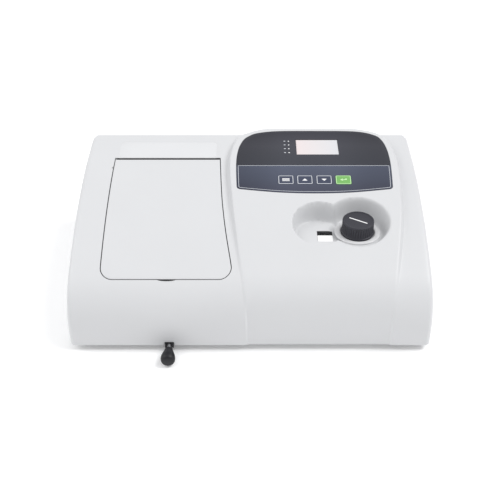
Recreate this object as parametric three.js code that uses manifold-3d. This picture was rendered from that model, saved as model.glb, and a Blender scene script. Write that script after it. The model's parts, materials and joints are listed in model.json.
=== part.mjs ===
// Benchtop visible-light spectrophotometer with a lidded sample compartment, a raised control
// shield, a wavelength knob in a double dished recess and a pull rod for the cuvette carriage.
// Millimetres, +Z up, +Y towards the back. Sizes are written with Y = 0 at the middle of the
// housing; the finished group is moved along Y so that the object's box is centred on the origin.
import * as THREE from 'three';
import { mergeVertices } from 'three/addons/utils/BufferGeometryUtils.js';
import Module from 'manifold-3d';

const wasm = await Module();
wasm.setup();

// ---------- driving dimensions ----------
const GAP = 0.3; // clearance between neighbouring solids
const HALF_WIDTH = 210;
const REAR_Y = 143;
const BOTTOM_Z = 8;
const TOP_Z = 127;
const WALL = 3;
const REAR_CORNER_R = 9;

// side outline: level at the rear, a long fall, the front shoulder and a nearly upright front
const LEVEL_END_Y = 98;
const FALL_R = 500;
const FALL_TO = THREE.MathUtils.degToRad(24);
const SHOULDER_R = 62;
const SHOULDER_TO = THREE.MathUtils.degToRad(89);
const FRONT_R = 300;

// raised shield on the right: how far it stands out, and its edges as [y, x] points
const SHIELD_RISE = 9.3;
const SHIELD_STEP = 1.5; // how far it sinks in again low on the front
const VALLEY = [[142, -18], [116, -25], [75, -29.7], [43, -29.5], [5, -26.8], [-35, -23],
  [-78, -17.5], [-144, -5]];
const CREST = [[142, 24], [134, 6], [126, -6], [116, -14], [101, -19.5], [63, -24.5], [5, -21.5],
  [-41, -16.5], [-81, -11], [-144, -2]];
const RIGHT_CREST = [[142, 136], [134, 158], [126, 169], [116, 175], [101, 180.5], [63, 184], [14, 182.5],
  [-27, 180], [-63, 175], [-110, 167], [-144, 161]];
const RIGHT_FOOT = [[142, 177], [126, 184], [101, 188], [63, 190], [14, 188.5], [-27, 186], [-63, 181],
  [-110, 172.5], [-144, 165]];

// sample lid and its hinge
const LID = { left: -172.5, front: -110, rear: 78.4, cornerR: 14 };
const LID_RIGHT_EDGE = [[-22, -95], [-29.4, -48], [-34.7, 3]];
const LID_REAR_RIGHT_X = -38.8;
const LID_GAP = 1;
const LID_REAR_GAP = 4;
const LID_THICK = 3;
const HINGE = { y: 72, z: 121.1, pinR: 1, knuckleR: 1.9, xs: [-146, -64] };
const SCOOP = { x: -96, y: -111, z: 82, halfWidth: 12, reach: 5, depth: 4 }; // finger scoop at the lid's front
const LABEL = { x0: -172, x1: -41, rear: 124, cornerR: 9, depth: 0.6 }; // shallow panel behind the lid

// sample compartment
const TUB = { x0: -160, x1: -44, y0: -98, y1: 62, wall: 4, floorZ: 22, floorThick: 3, rimDepth: 6.3 };
const BEAM = { y: -20, z: 55, portR: 5 };
const CELL = { x: -93, pitch: 16, count: 4, width: 12.9, floorZ: 36.6 };
const ROD = { x: -94, z: 9.5, r: 2.4, frontY: -160, rearY: -12 };
const HANDLE = { neckY: -150, discY: -164, tipY: -172, neckR: 4.6, discR: 8.5 };

// control panel
const KEY = { width: 19, y0: 17.2, y1: 32.6, xs: [34.8, 58.2, 82, 105.8] };
const KEY_NAMES = ['key_mode', 'key_up', 'key_down', 'key_enter'];
const DISPLAY = { x0: 59.6, x1: 113.6, y0: 76.2, y1: 112 };
const FILM = { proud: 0.2, pocket: 1 }; // printed film, against the housing's surface
const KEY_PROUD = 0.5;
const KEY_WELL = 2.4;

// wavelength control
const FLOOR_Z = 97.7; // floor of the double recess
const KNOB = { x: 128.4, y: -41.6, r: 18.8, flangeR: 19.7, baseZ: 98.6, topZ: 116 };
const KNOB_DISH = { x: 128.4, y: -41.6, floorR: 28.5, rimR: 39, squash: 0.91 };
const DRUM_DISH = { x: 83, y: -43, floorR: 27, rimR: 33.4, squash: 0.91 };
const WINDOW = { x0: 80, x1: 98.6, y0: -59.4, y1: -38.3 };
const DRUM = { z: 83, r: 11, x0: 79.5, x1: 99.5 };
const BEVEL = { r: 8.7, tipR: 4, depth: 4.7, hub: 2 }; // pitch cones of the bevel pair
const NUT = { topZ: 38.5, height: 10 };
const PIVOT = { y: 41, z: 40, armX: KNOB.x, armLength: 72 };
const LAMP = { x: 168, y: 92, z: 56 };
const TRAY_TOP_Z = 16.3; // what stands on the optics tray starts here
const MIRROR = { y: 92, z: 58, r: 20 };

// rear panel
const PANEL = { halfWidth: 187.5, z0: 16.5, z1: 103.5, y0: 139, y1: 141 };
const INLET = { x: -140, z: 42, width: 28, height: 20 };
const SWITCH = { x: -171, z: 42, width: 13, height: 20 };
const FUSE = { x: -112, z: 42, r: 6, capR: 8 };
const DATA_PORT = { x0: 32, x1: 63, z0: 35.5, z1: 48.5 };
const VENTS = { count: 9, x0: 118, pitch: 7, width: 3, z0: 48, z1: 92 };
const REAR_TIP_Y = 146;

// ---------- materials ----------
const finish = (color, roughness, metalness = 0, extra = {}) =>
  new THREE.MeshStandardMaterial({ color, roughness, metalness, ...extra });
const whitePaint = finish(0xe3e4e6, 0.45);
const lidPaint = finish(0xe4e5e7, 0.42);
const blackPlastic = finish(0x1b1b1e, 0.55);
const knobPlastic = finish(0x3a3a42, 0.5);
const silverPlastic = finish(0xdedfe0, 0.35);
const overlayFilm = finish(0x43454f, 0.4);
const keyFilm = finish(0x5a6378, 0.4);
const greenKey = finish(0x74b560, 0.4);
const clearPlastic = finish(0xe9e4e6, 0.1, 0, { transparent: true, opacity: 0.6 });
const rubber = finish(0x202022, 0.9);
const foam = finish(0x18181a, 1);
const steel = finish(0xb9bbbe, 0.3, 1);
const castAlloy = finish(0x8d8f92, 0.6, 0.6);
const blackAnodised = finish(0x26272a, 0.5, 0.5);
const zincSheet = finish(0xa9abae, 0.5, 0.8);
const mirrorCoat = finish(0xf2f2f4, 0.03, 1);
const lampGlass = finish(0xf4f4f0, 0.05, 0, { transparent: true, opacity: 0.35 });
const brass = finish(0xb89b52, 0.35, 1);
const boardGreen = finish(0x2c6a45, 0.6);
const whitePlastic = finish(0xf6f6f4, 0.5);
const ironCore = finish(0x55504a, 0.6, 0.4);

// ---------- shape helpers ----------
function solid(geometry) {
  const plain = geometry.clone();
  plain.deleteAttribute('normal');
  plain.deleteAttribute('uv');
  const merged = mergeVertices(plain, 1e-4);
  return new wasm.Manifold(new wasm.Mesh({
    numProp: 3,
    vertProperties: new Float32Array(merged.attributes.position.array),
    triVerts: new Uint32Array(merged.index.array),
  }));
}

function geometryOf(body) {
  const mesh = body.getMesh();
  const geometry = new THREE.BufferGeometry();
  geometry.setAttribute('position', new THREE.BufferAttribute(new Float32Array(mesh.vertProperties), 3));
  geometry.setIndex(new THREE.BufferAttribute(new Uint32Array(mesh.triVerts), 1));
  return geometry;
}

function box(x0, x1, y0, y1, z0, z1) {
  const geometry = new THREE.BoxGeometry(x1 - x0, y1 - y0, z1 - z0);
  return solid(geometry.translate((x0 + x1) / 2, (y0 + y1) / 2, (z0 + z1) / 2));
}

// round bar or cone along one axis, from one end to the other; centre holds the other two coordinates
function bar(axis, from, to, centre, r, sides = 20, rEnd = r) {
  const geometry = new THREE.CylinderGeometry(rEnd, r, to - from, sides);
  const middle = (from + to) / 2;
  if (axis === 'z') geometry.rotateX(Math.PI / 2).translate(centre[0], centre[1], middle);
  if (axis === 'x') geometry.rotateZ(-Math.PI / 2).translate(middle, centre[0], centre[1]);
  if (axis === 'y') geometry.translate(centre[0], middle, centre[1]);
  return solid(geometry);
}

// turned body about a vertical axis from [radius, z] points that start and end on the axis
function turned(points, x, y, sides = 28, squash = 1) {
  const geometry = new THREE.LatheGeometry(points.map(([r, z]) => new THREE.Vector2(r, z)), sides);
  return solid(geometry.rotateX(Math.PI / 2).scale(1, squash, 1).translate(x, y, 0));
}

// plan outline (x, y) raised from z0 to z1
function prism(shape, z0, z1, curveSegments = 6) {
  const geometry = new THREE.ExtrudeGeometry(shape, { depth: z1 - z0, bevelEnabled: false, curveSegments });
  return solid(geometry.translate(0, 0, z0));
}

// side outline (y, z) carried from x0 to x1
function sidePrism(points, x0, x1) {
  const shape = new THREE.Shape(points.map(([y, z]) => new THREE.Vector2(y, z)));
  const geometry = new THREE.ExtrudeGeometry(shape, { depth: x1 - x0, bevelEnabled: false });
  const turn = new THREE.Matrix4().makeBasis(
    new THREE.Vector3(0, 1, 0), new THREE.Vector3(0, 0, 1), new THREE.Vector3(1, 0, 0));
  return solid(geometry.applyMatrix4(turn).translate(x0, 0, 0));
}

function roundedRect(x0, x1, y0, y1, radii) {
  const [nearLeft, nearRight, farRight, farLeft] = radii;
  const shape = new THREE.Shape();
  shape.moveTo(x0 + nearLeft, y0);
  shape.lineTo(x1 - nearRight, y0);
  if (nearRight) shape.absarc(x1 - nearRight, y0 + nearRight, nearRight, -Math.PI / 2, 0);
  shape.lineTo(x1, y1 - farRight);
  if (farRight) shape.absarc(x1 - farRight, y1 - farRight, farRight, 0, Math.PI / 2);
  shape.lineTo(x0 + farLeft, y1);
  if (farLeft) shape.absarc(x0 + farLeft, y1 - farLeft, farLeft, Math.PI / 2, Math.PI);
  shape.lineTo(x0, y0 + nearLeft);
  if (nearLeft) shape.absarc(x0 + nearLeft, y0 + nearLeft, nearLeft, Math.PI, Math.PI * 1.5);
  return shape;
}

// ---------- the housing's surface ----------
// points down the side outline, each with the surface slope there
function sideStations() {
  const stations = [];
  for (const y of [REAR_Y, 134, 126, 117, 108, LEVEL_END_Y]) stations.push({ y, z: TOP_Z, slope: 0 });
  const arc = (r, from, to, steps) => {
    const start = stations.at(-1);
    for (let i = 1; i <= steps; i++) {
      const slope = from + (to - from) * i / steps;
      stations.push({
        y: start.y - r * (Math.sin(slope) - Math.sin(from)),
        z: start.z - r * (Math.cos(from) - Math.cos(slope)),
        slope,
      });
    }
  };
  arc(FALL_R, 0, FALL_TO, 10);
  arc(SHOULDER_R, FALL_TO, SHOULDER_TO, 8);
  const drop = stations.at(-1).z - BOTTOM_Z;
  const end = Math.acos(Math.cos(SHOULDER_TO) - drop / FRONT_R);
  arc(FRONT_R, SHOULDER_TO, end, 3);
  return stations;
}

// smooth curve through [y, x] points, read at one y
function along(points, y) {
  let i = 0;
  while (i < points.length - 2 && y < points[i + 1][0]) i++;
  const [y0, x0] = points[i];
  const [y1, x1] = points[i + 1];
  const slopeAt = (k) => {
    const a = points[Math.max(k - 1, 0)];
    const b = points[Math.min(k + 1, points.length - 1)];
    return (b[1] - a[1]) / (b[0] - a[0]);
  };
  const t = (y - y0) / (y1 - y0);
  const m0 = slopeAt(i) * (y1 - y0);
  const m1 = slopeAt(i + 1) * (y1 - y0);
  return x0 * (2 * t ** 3 - 3 * t ** 2 + 1) + m0 * (t ** 3 - 2 * t ** 2 + t)
    + x1 * (3 * t ** 2 - 2 * t ** 3) + m1 * (t ** 3 - t ** 2);
}

// how far the shield stands out of the housing: full at the rear, fading out over the front
function shieldRise({ y, z }) {
  const back = THREE.MathUtils.clamp((y + REAR_Y) / (2 * REAR_Y), 0, 1);
  return SHIELD_RISE * (1 - (1 - back) ** 2.2) - SHIELD_STEP * (1 - THREE.MathUtils.smoothstep(z, 45, 75));
}

// everything below the housing's outer surface, pulled in by an inset, down to floorZ
function underSurface(inset, floorZ = BOTTOM_Z) {
  const stations = sideStations();
  const rings = [0, 1, 2, 3, 4, 5].map((column) => {
    const ring = stations.map((station) => {
      const { y, z, slope } = station;
      const columns = [-HALF_WIDTH + inset, along(VALLEY, y), along(CREST, y),
        along(RIGHT_CREST, y), along(RIGHT_FOOT, y), HALF_WIDTH - inset];
      const lift = (column === 2 || column === 3 ? shieldRise(station) : 0) - inset;
      const sunkY = Math.min(y - Math.sin(slope) * lift, REAR_Y - inset);
      return [columns[column], sunkY, z + Math.cos(slope) * lift];
    });
    const [x, y] = ring.at(-1);
    ring.at(-1)[2] = BOTTOM_Z;
    if (floorZ < BOTTOM_Z) ring.push([x, y, floorZ]);
    ring.push([ring[0][0], REAR_Y - inset, floorZ]);
    return ring;
  });
  return solid(skin(rings));
}

// closed mesh over a row of rings, with flat ends
function skin(rings) {
  const size = rings[0].length;
  const index = [];
  for (let i = 0; i < rings.length - 1; i++) {
    for (let j = 0; j < size; j++) {
      const a = i * size + j;
      const b = i * size + (j + 1) % size;
      index.push(a, b, a + size, b, b + size, a + size);
    }
  }
  const capOf = (ring) => THREE.ShapeUtils.triangulateShape(
    ring.map(([, y, z]) => new THREE.Vector2(y, z)), []);
  const last = (rings.length - 1) * size;
  for (const [a, b, c] of capOf(rings[0])) index.push(c, b, a);
  for (const [a, b, c] of capOf(rings.at(-1))) index.push(last + a, last + b, last + c);
  const geometry = new THREE.BufferGeometry();
  geometry.setAttribute('position', new THREE.Float32BufferAttribute(rings.flat(2), 3));
  return geometry.setIndex(index);
}

// layer of the surface between two insets, within a plan outline
function layer(plan, topInset, bottomInset) {
  return underSurface(topInset).intersect(plan).subtract(underSurface(bottomInset));
}

// plan of the lid, grown by a gap at the sides and another at the rear
function lidPlan(grow, rearY = LID.rear + grow) {
  const left = LID.left - grow;
  const front = LID.front - grow;
  const r = LID.cornerR + grow;
  const edge = [...LID_RIGHT_EDGE, [LID_REAR_RIGHT_X, rearY]].map(([x, y]) => new THREE.Vector2(x + grow, y));
  const shape = new THREE.Shape();
  shape.moveTo(left, rearY);
  shape.lineTo(left, front + r);
  shape.absarc(left + r, front + r, r, Math.PI, Math.PI * 1.5);
  shape.lineTo(edge[0].x - r, front);
  shape.absarc(edge[0].x - r, front + r, r, -Math.PI / 2, 0);
  shape.splineThru(edge.slice(1));
  return shape;
}

// plan of the printed control panel, grown by a gap
function overlayPlan(grow) {
  const shape = new THREE.Shape();
  const near = (x, y) => new THREE.Vector2(x + Math.sign(x - 80) * grow, y + (y > 60 ? grow : -grow));
  shape.moveTo(-16 - grow, 9.5 - grow);
  shape.splineThru([near(35, 3.6), near(80, 2), near(125, 3.6), near(174.6, 9.5)]);
  shape.splineThru([near(176.8, 55), near(175.8, 88), near(171.5, 111), near(163, 124), near(139, 133.5)]);
  shape.splineThru([near(88, 135), near(37, 134.4), near(11, 129.5), near(0, 122.5)]);
  shape.splineThru([near(-8.5, 111), near(-14.7, 88), near(-17.2, 57), near(-16, 9.5)]);
  return shape;
}

// dished recess: floor, curved wall and a wide mouth above the housing
function dish({ x, y, floorR, rimR, squash }, grow = 0) {
  const flare = rimR - floorR;
  return turned([
    [0, FLOOR_Z - grow], [floorR + grow, FLOOR_Z - grow], [floorR + flare * 0.45 + grow, FLOOR_Z + 3],
    [floorR + flare * 0.75 + grow, FLOOR_Z + 9], [rimR + grow, FLOOR_Z + 22], [rimR + grow + 1, 145], [0, 145],
  ], x, y, 32, squash);
}

const group = new THREE.Group();
group.position.y = -(HANDLE.tipY + REAR_TIP_Y) / 2;

function add(name, body, material) {
  const mesh = new THREE.Mesh(geometryOf(body), material);
  mesh.name = name;
  group.add(mesh);
}

// ---------- housing ----------
function upperHousing() {
  const outer = underSurface(0);
  const plan = roundedRect(-HALF_WIDTH, HALF_WIDTH, -160, REAR_Y, [0, 0, REAR_CORNER_R, REAR_CORNER_R]);
  const inner = underSurface(WALL, -5);
  const innerR = REAR_CORNER_R - WALL;
  const innerPlan = roundedRect(WALL - HALF_WIDTH, HALF_WIDTH - WALL, -160, REAR_Y - WALL,
    [0, 0, innerR, innerR]);
  let housing = outer.intersect(prism(plan, 0, 150)).subtract(inner.intersect(prism(innerPlan, -10, 150)));
  const dishWalls = dish(KNOB_DISH, WALL).add(dish(DRUM_DISH, WALL)).intersect(outer);
  housing = housing.add(dishWalls).subtract(dish(KNOB_DISH)).subtract(dish(DRUM_DISH));

  // lid opening with its finger scoop, and the shallow panel behind the lid
  housing = housing.subtract(prism(lidPlan(LID_GAP, LID.rear + LID_REAR_GAP), 60, 150));
  const scoop = new THREE.SphereGeometry(1, 20, 10).scale(SCOOP.halfWidth, SCOOP.reach, SCOOP.depth);
  housing = housing.subtract(solid(scoop.translate(SCOOP.x, SCOOP.y, SCOOP.z)));
  const labelPlan = roundedRect(LABEL.x0, LABEL.x1, LID.rear + LID_REAR_GAP, LABEL.rear,
    [0, 0, LABEL.cornerR, LABEL.cornerR]);
  housing = housing.subtract(prism(labelPlan, 100, 150).subtract(underSurface(LABEL.depth)));

  // pocket for the printed panel, with the display opening and the key wells
  housing = housing.subtract(prism(overlayPlan(GAP), 90, 150).subtract(underSurface(FILM.pocket)));
  const { x0, x1, y0, y1 } = DISPLAY;
  housing = housing.subtract(box(x0 - GAP, x1 + GAP, y0 - GAP, y1 + GAP, 100, 150));
  for (const x of KEY.xs) {
    const well = box(x - GAP, x + KEY.width + GAP, KEY.y0 - GAP, KEY.y1 + GAP, 100, 150);
    housing = housing.subtract(well.subtract(underSurface(KEY_WELL)));
  }

  // floor of the recess: shaft hole and wavelength window
  housing = housing.subtract(bar('z', 90, 100, [KNOB.x, KNOB.y], 3.6));
  housing = housing.subtract(box(WINDOW.x0, WINDOW.x1, WINDOW.y0, WINDOW.y1, 90, 100));

  // rear panel opening and the notch for the pull rod's bush
  const p = PANEL.halfWidth + GAP;
  housing = housing.subtract(box(-p, p, 130, 150, PANEL.z0 - GAP, PANEL.z1 + GAP));
  return housing.subtract(box(ROD.x - 5.6, ROD.x + 5.6, -150, -130, 0, 13));
}
add('upper_housing', upperHousing(), whitePaint);

function basePlate() {
  const plan = roundedRect(-206.4, 206.4, -136.8, 138.4, [3, 3, 6, 6]);
  const slot = box(ROD.x - 5.6, ROD.x + 5.6, -150, 0, 0, 20);
  return prism(plan, BOTTOM_Z, BOTTOM_Z + 1.6).subtract(slot);
}
add('base_plate', basePlate(), zincSheet);

for (const [end, y] of [['front', -112], ['rear', 112]]) {
  for (const [side, x] of [['left', -180], ['right', 180]]) {
    add(`foot_${end}_${side}`, bar('z', 0, BOTTOM_Z - GAP, [x, y], 10, 24, 11.5), rubber);
  }
}

// ---------- rear panel ----------
function rearPanel() {
  const { halfWidth, z0, z1, y0, y1 } = PANEL;
  let panel = box(-halfWidth, halfWidth, y0, y1, z0, z1);
  for (const { x, z, width, height } of [INLET, SWITCH]) {
    const w = width / 2 + GAP;
    const h = height / 2 + GAP;
    panel = panel.subtract(box(x - w, x + w, 130, 150, z - h, z + h));
  }
  panel = panel.subtract(bar('y', 130, 150, [FUSE.x, FUSE.z], FUSE.r + GAP));
  const port = DATA_PORT;
  panel = panel.subtract(box(port.x0 - GAP, port.x1 + GAP, 130, 150, port.z0 - GAP, port.z1 + GAP));
  for (let i = 0; i < VENTS.count; i++) {
    const x = VENTS.x0 + i * VENTS.pitch;
    panel = panel.subtract(box(x, x + VENTS.width, 130, 150, VENTS.z0, VENTS.z1));
  }
  return panel;
}
add('rear_panel', rearPanel(), zincSheet);

function powerInlet() {
  const { x, z, width, height } = INLET;
  const w = width / 2;
  const h = height / 2;
  const flange = box(x - w - 3, x + w + 3, 141.3, 143.3, z - h - 3, z + h + 3);
  const shroud = box(x - w, x + w, 118, 143.3, z - h, z + h).add(flange);
  let inlet = shroud.subtract(box(x - w + 2.5, x + w - 2.5, 122, 150, z - h + 2.5, z + h - 2.5));
  for (const [dx, dz] of [[-7, -2], [0, 3], [7, -2]]) {
    inlet = inlet.add(box(x + dx - 1, x + dx + 1, 121, 134, z + dz - 2, z + dz + 2));
  }
  return inlet;
}
add('power_inlet', powerInlet(), blackPlastic);

function switchFrame() {
  const { x, z, width, height } = SWITCH;
  const w = width / 2;
  const h = height / 2;
  const body = box(x - w, x + w, 124, 143, z - h, z + h);
  const lip = box(x - w - 1.5, x + w + 1.5, 141.3, 143, z - h - 1.5, z + h + 1.5);
  return body.add(lip).subtract(box(x - w + 1.5, x + w - 1.5, 130, 150, z - h + 1.5, z + h - 1.5));
}
add('switch_frame', switchFrame(), blackPlastic);

function rocker() {
  const { x, z } = SWITCH;
  const outline = [[134, z - 4.6], [141.4, z - 7], [140.8, z], [143.4, z + 7], [134, z + 4.6]];
  return sidePrism(outline, x - 4.6, x + 4.6);
}
add('power_rocker', rocker(), blackPlastic);

function fuseHolder() {
  const centre = [FUSE.x, FUSE.z];
  const cap = bar('y', PANEL.y1 + GAP, REAR_TIP_Y, centre, FUSE.capR, 24, FUSE.capR - 0.6);
  return bar('y', 118, PANEL.y1 + 1, centre, FUSE.r).add(cap);
}
add('fuse_holder', fuseHolder(), blackPlastic);

function dataPort() {
  const { x0, x1, z0, z1 } = DATA_PORT;
  return box(x0, x1, 128, 141, z0, z1).add(box(x0 + 3, x1 - 3, 140, 144.4, z0 + 2, z1 - 2));
}
add('data_port', dataPort(), steel);

// ---------- sample lid ----------
function sampleLid() {
  let lid = layer(prism(lidPlan(0), 40, 150), 0, LID_THICK);
  for (const x of HINGE.xs) {
    for (const side of [-1, 1]) {
      const x0 = x + side * 8 - 2.7;
      const ear = bar('x', x0, x0 + 5.4, [HINGE.y, HINGE.z], HINGE.knuckleR, 16);
      const neck = box(x0, x0 + 5.4, HINGE.y - 1.9, HINGE.y + 1.9, HINGE.z, HINGE.z + 3);
      lid = lid.add(ear.add(neck));
    }
    lid = lid.subtract(bar('x', x - 12, x + 12, [HINGE.y, HINGE.z], HINGE.pinR + GAP, 12));
  }
  return lid;
}
add('sample_lid', sampleLid(), lidPaint);

function tubRing(topInset, bottomInset) {
  const { x0, x1, y0, y1, wall } = TUB;
  const ring = box(x0, x1, y0, y1, 40, 150).subtract(box(x0 + wall, x1 - wall, y0 + wall, y1 - wall, 0, 160));
  return layer(ring, topInset, bottomInset);
}
add('lid_seal', tubRing(LID_THICK + GAP, TUB.rimDepth - GAP), foam);

HINGE.xs.forEach((x, i) => {
  const side = i === 0 ? 'left' : 'right';
  const { y, z, pinR, knuckleR } = HINGE;
  const arm = sidePrism([[y - 1.8, z], [y - 1.6, z - 0.9], [y + 0.4, z - 1.8], [y - 2, z - 14],
    [y - 9.6, z - 14], [y - 9.6, z - 9], [y - 5, z - 9]], x - 5, x + 5);
  const knuckle = bar('x', x - 5, x + 5, [y, z], knuckleR, 16);
  const bore = bar('x', x - 12, x + 12, [y, z], pinR + 0.1, 12);
  add(`hinge_bracket_${side}`, arm.add(knuckle).subtract(bore), steel);
  add(`hinge_pin_${side}`, bar('x', x - 11, x + 11, [y, z], pinR, 12), steel);
});

// ---------- sample compartment ----------
function sampleChamber() {
  const { x0, x1, y0, y1, wall, floorZ, floorThick, rimDepth } = TUB;
  const shell = box(x0, x1, y0, y1, floorZ, 150).intersect(underSurface(rimDepth));
  const flangePlan = prism(lidPlan(3, y1 - 4), 40, 150);
  const flange = layer(flangePlan, rimDepth, rimDepth + 2.5);
  let tub = shell.add(flange);
  tub = tub.subtract(box(x0 + wall, x1 - wall, y0 + wall, y1 - wall, floorZ + floorThick, 150));
  tub = tub.subtract(box(ROD.x - 4, ROD.x + 4, -80, -10, 0, 30));
  tub = tub.subtract(bar('x', x0 - 5, x1 + 5, [BEAM.y, BEAM.z], BEAM.portR, 16));
  for (const x of [x0 + 3, x1 - 3]) {
    for (const y of [y0 + 3, y1 - 3]) tub = tub.add(box(x - 3, x + 3, y - 3, y + 3, BOTTOM_Z + 2, floorZ + 1));
  }
  return tub;
}
add('sample_chamber', sampleChamber(), blackAnodised);
for (const [side, x] of [['left', -121], ['right', -69]]) {
  add(`guide_rail_${side}`, box(x - 2, x + 2, TUB.y0 + 6, TUB.y1 - 6, 25.3, 30), steel);
}

function cuvetteRack() {
  const rearY = BEAM.y + (CELL.count - 1) * CELL.pitch;
  let rack = box(CELL.x - 17, CELL.x + 17, BEAM.y - 9, rearY + 9, 33.6, 62);
  for (let i = 0; i < CELL.count; i++) {
    const y = BEAM.y + i * CELL.pitch;
    const w = CELL.width / 2;
    rack = rack.subtract(box(CELL.x - w, CELL.x + w, y - w, y + w, CELL.floorZ, 70));
    rack = rack.subtract(bar('x', CELL.x - 20, CELL.x + 20, [y, BEAM.z], 3.5, 12));
  }
  return rack;
}
add('cuvette_rack', cuvetteRack(), blackAnodised);
add('carriage_base', box(-125, -65, BEAM.y - 11, BEAM.y + 59, 30.3, 33.3), blackAnodised);
add('drive_arm', box(ROD.x - 3, ROD.x + 3, -22, -16, 12.2, 30), steel);
add('pull_rod', bar('y', ROD.frontY, ROD.rearY, [ROD.x, ROD.z], ROD.r, 20), steel);

function handle() {
  const { neckY, discY, tipY, neckR, discR } = HANDLE;
  const points = [[0, neckY], [neckR, neckY], [neckR, discY + 8], [discR - 1.2, discY + 2], [discR, discY],
    [discR - 0.6, tipY + 4], [discR - 3, tipY + 0.8], [0, tipY]];
  const profile = points.map(([r, y]) => new THREE.Vector2(r, y)).reverse();
  const centre = [ROD.x, ROD.z];
  const grip = solid(new THREE.LatheGeometry(profile, 24).translate(ROD.x, 0, ROD.z));
  return grip.subtract(bar('y', ROD.frontY - GAP, neckY + 1, centre, ROD.r + GAP, 20));
}
add('pull_rod_handle', handle(), blackPlastic);
add('pull_rod_bush', box(ROD.x - 5.2, ROD.x + 5.2, -143.6, -136, 5.6, 12.6)
  .subtract(bar('y', -150, -130, [ROD.x, ROD.z], ROD.r + 0.1, 20)), blackPlastic);

// ---------- control panel ----------
function panelOverlay() {
  let overlay = layer(prism(overlayPlan(0), 90, 150), -FILM.proud, FILM.pocket - GAP);
  const { x0, x1, y0, y1 } = DISPLAY;
  overlay = overlay.subtract(box(x0 - GAP, x1 + GAP, y0 - GAP, y1 + GAP, 100, 150));
  for (const x of KEY.xs) {
    overlay = overlay.subtract(box(x - GAP, x + KEY.width + GAP, KEY.y0 - GAP, KEY.y1 + GAP, 100, 150));
  }
  return overlay;
}
add('panel_overlay', panelOverlay(), overlayFilm);
KEY.xs.forEach((x, i) => {
  const cap = layer(box(x, x + KEY.width, KEY.y0, KEY.y1, 100, 150), -KEY_PROUD, 1.5);
  add(KEY_NAMES[i], cap, KEY_NAMES[i] === 'key_enter' ? greenKey : keyFilm);
});
const displayPlan = box(DISPLAY.x0, DISPLAY.x1, DISPLAY.y0, DISPLAY.y1, 100, 150);
add('display_window', layer(displayPlan, 0, 2.2), clearPlastic);
add('display_module', box(54, 119, 70, 118, 113.9, 129.5), silverPlastic);
add('control_board', box(10, 160, 15, 126, 112, 113.6), boardGreen);

// ---------- wavelength control ----------
function knobBody() {
  const { x, y, r, flangeR, baseZ, topZ } = KNOB;
  const body = turned([[0, baseZ], [flangeR, baseZ], [flangeR, baseZ + 2], [r, baseZ + 3], [r, topZ - 0.8],
    [r - 0.8, topZ], [r - 2.2, topZ], [r - 2.2, topZ - 0.9], [0, topZ - 0.9]], x, y, 40);
  let ribbed = body;
  for (let i = 0; i < 20; i++) {
    const angle = (i + 0.5) * Math.PI / 10;
    const groove = [x + (r + 0.35) * Math.cos(angle), y + (r + 0.35) * Math.sin(angle)];
    ribbed = ribbed.subtract(bar('z', baseZ + 3.6, topZ - 1.4, groove, 0.7, 6));
  }
  return ribbed.subtract(bar('z', baseZ - 1, 112, [x, y], 3.3));
}
add('wavelength_knob', knobBody(), knobPlastic);
add('knob_cap', bar('z', KNOB.topZ - 0.6, KNOB.topZ + 0.1, [KNOB.x, KNOB.y], KNOB.r - 2.6, 40), knobPlastic);

function knobCollar() {
  const r = KNOB_DISH.floorR - 1;
  const profile = [[0, 98], [r, 98], [r - 0.4, 99.4], [22, 99.8], [0, 99.8]];
  const ring = turned(profile, KNOB.x, KNOB.y, 32, KNOB_DISH.squash);
  return ring.subtract(bar('z', 90, 110, [KNOB.x, KNOB.y], 20.6, 32));
}
add('knob_collar', knobCollar().subtract(box(70, WINDOW.x1 + 1.5, -80, 0, 90, 110)), silverPlastic);

function wavelengthShaft() {
  const { x, y } = KNOB;
  const tipZ = DRUM.z + BEVEL.r - BEVEL.depth + GAP;
  const rimZ = tipZ + BEVEL.depth;
  const bevel = [[0, tipZ], [BEVEL.tipR, tipZ], [BEVEL.r, rimZ],
    [BEVEL.r, rimZ + BEVEL.hub], [0, rimZ + BEVEL.hub]];
  return bar('z', 16, 111.5, [x, y], 3).add(turned(bevel, x, y, 20));
}
add('wavelength_shaft', wavelengthShaft(), steel);
const lens = box(WINDOW.x0 + GAP, WINDOW.x1 - GAP, WINDOW.y0 + GAP, WINDOW.y1 - GAP, 95.8, 97.2);
add('window_lens', lens, clearPlastic);
add('scale_drum', bar('x', DRUM.x0, DRUM.x1, [KNOB.y, DRUM.z], DRUM.r, 32)
  .subtract(bar('x', 70, 110, [KNOB.y, DRUM.z], 2.3, 16)), blackPlastic);

function drumAxle() {
  const centre = [KNOB.y, DRUM.z];
  const bevelX = KNOB.x - BEVEL.r;
  return bar('x', 73, bevelX, centre, 2, 16)
    .add(bar('x', bevelX - BEVEL.hub, bevelX, centre, BEVEL.r, 20))
    .add(bar('x', bevelX, bevelX + BEVEL.depth - 0.1, centre, BEVEL.r, 20, BEVEL.tipR));
}
add('drum_axle', drumAxle(), brass);

function drumFrame() {
  const y = KNOB.y;
  let frame = box(74, 108, y - 7, y + 7, TRAY_TOP_Z, 20);
  for (const x of [74, 105]) frame = frame.add(box(x, x + 3, y - 5, y + 5, 18, DRUM.z + 5.5));
  return frame.subtract(bar('x', 70, 120, [y, DRUM.z], 2.3, 16));
}
add('drum_frame', drumFrame(), zincSheet);
add('shaft_bearing', box(KNOB.x - 9, KNOB.x + 9, KNOB.y - 9, KNOB.y + 9, TRAY_TOP_Z, 20.5)
  .subtract(bar('z', 10, 30, [KNOB.x, KNOB.y], 3.1)), brass);

function sineNut() {
  const { x, y } = KNOB;
  const bottom = NUT.topZ - NUT.height;
  const finger = box(x - 3, x + 3, y, y + 15, bottom + 4, NUT.topZ);
  const body = bar('z', bottom, NUT.topZ + 4, [x, y], 7, 6).add(finger);
  return body.subtract(bar('z', 0, 70, [x, y], 3.3, 20));
}
add('sine_nut', sineNut(), brass);

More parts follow.
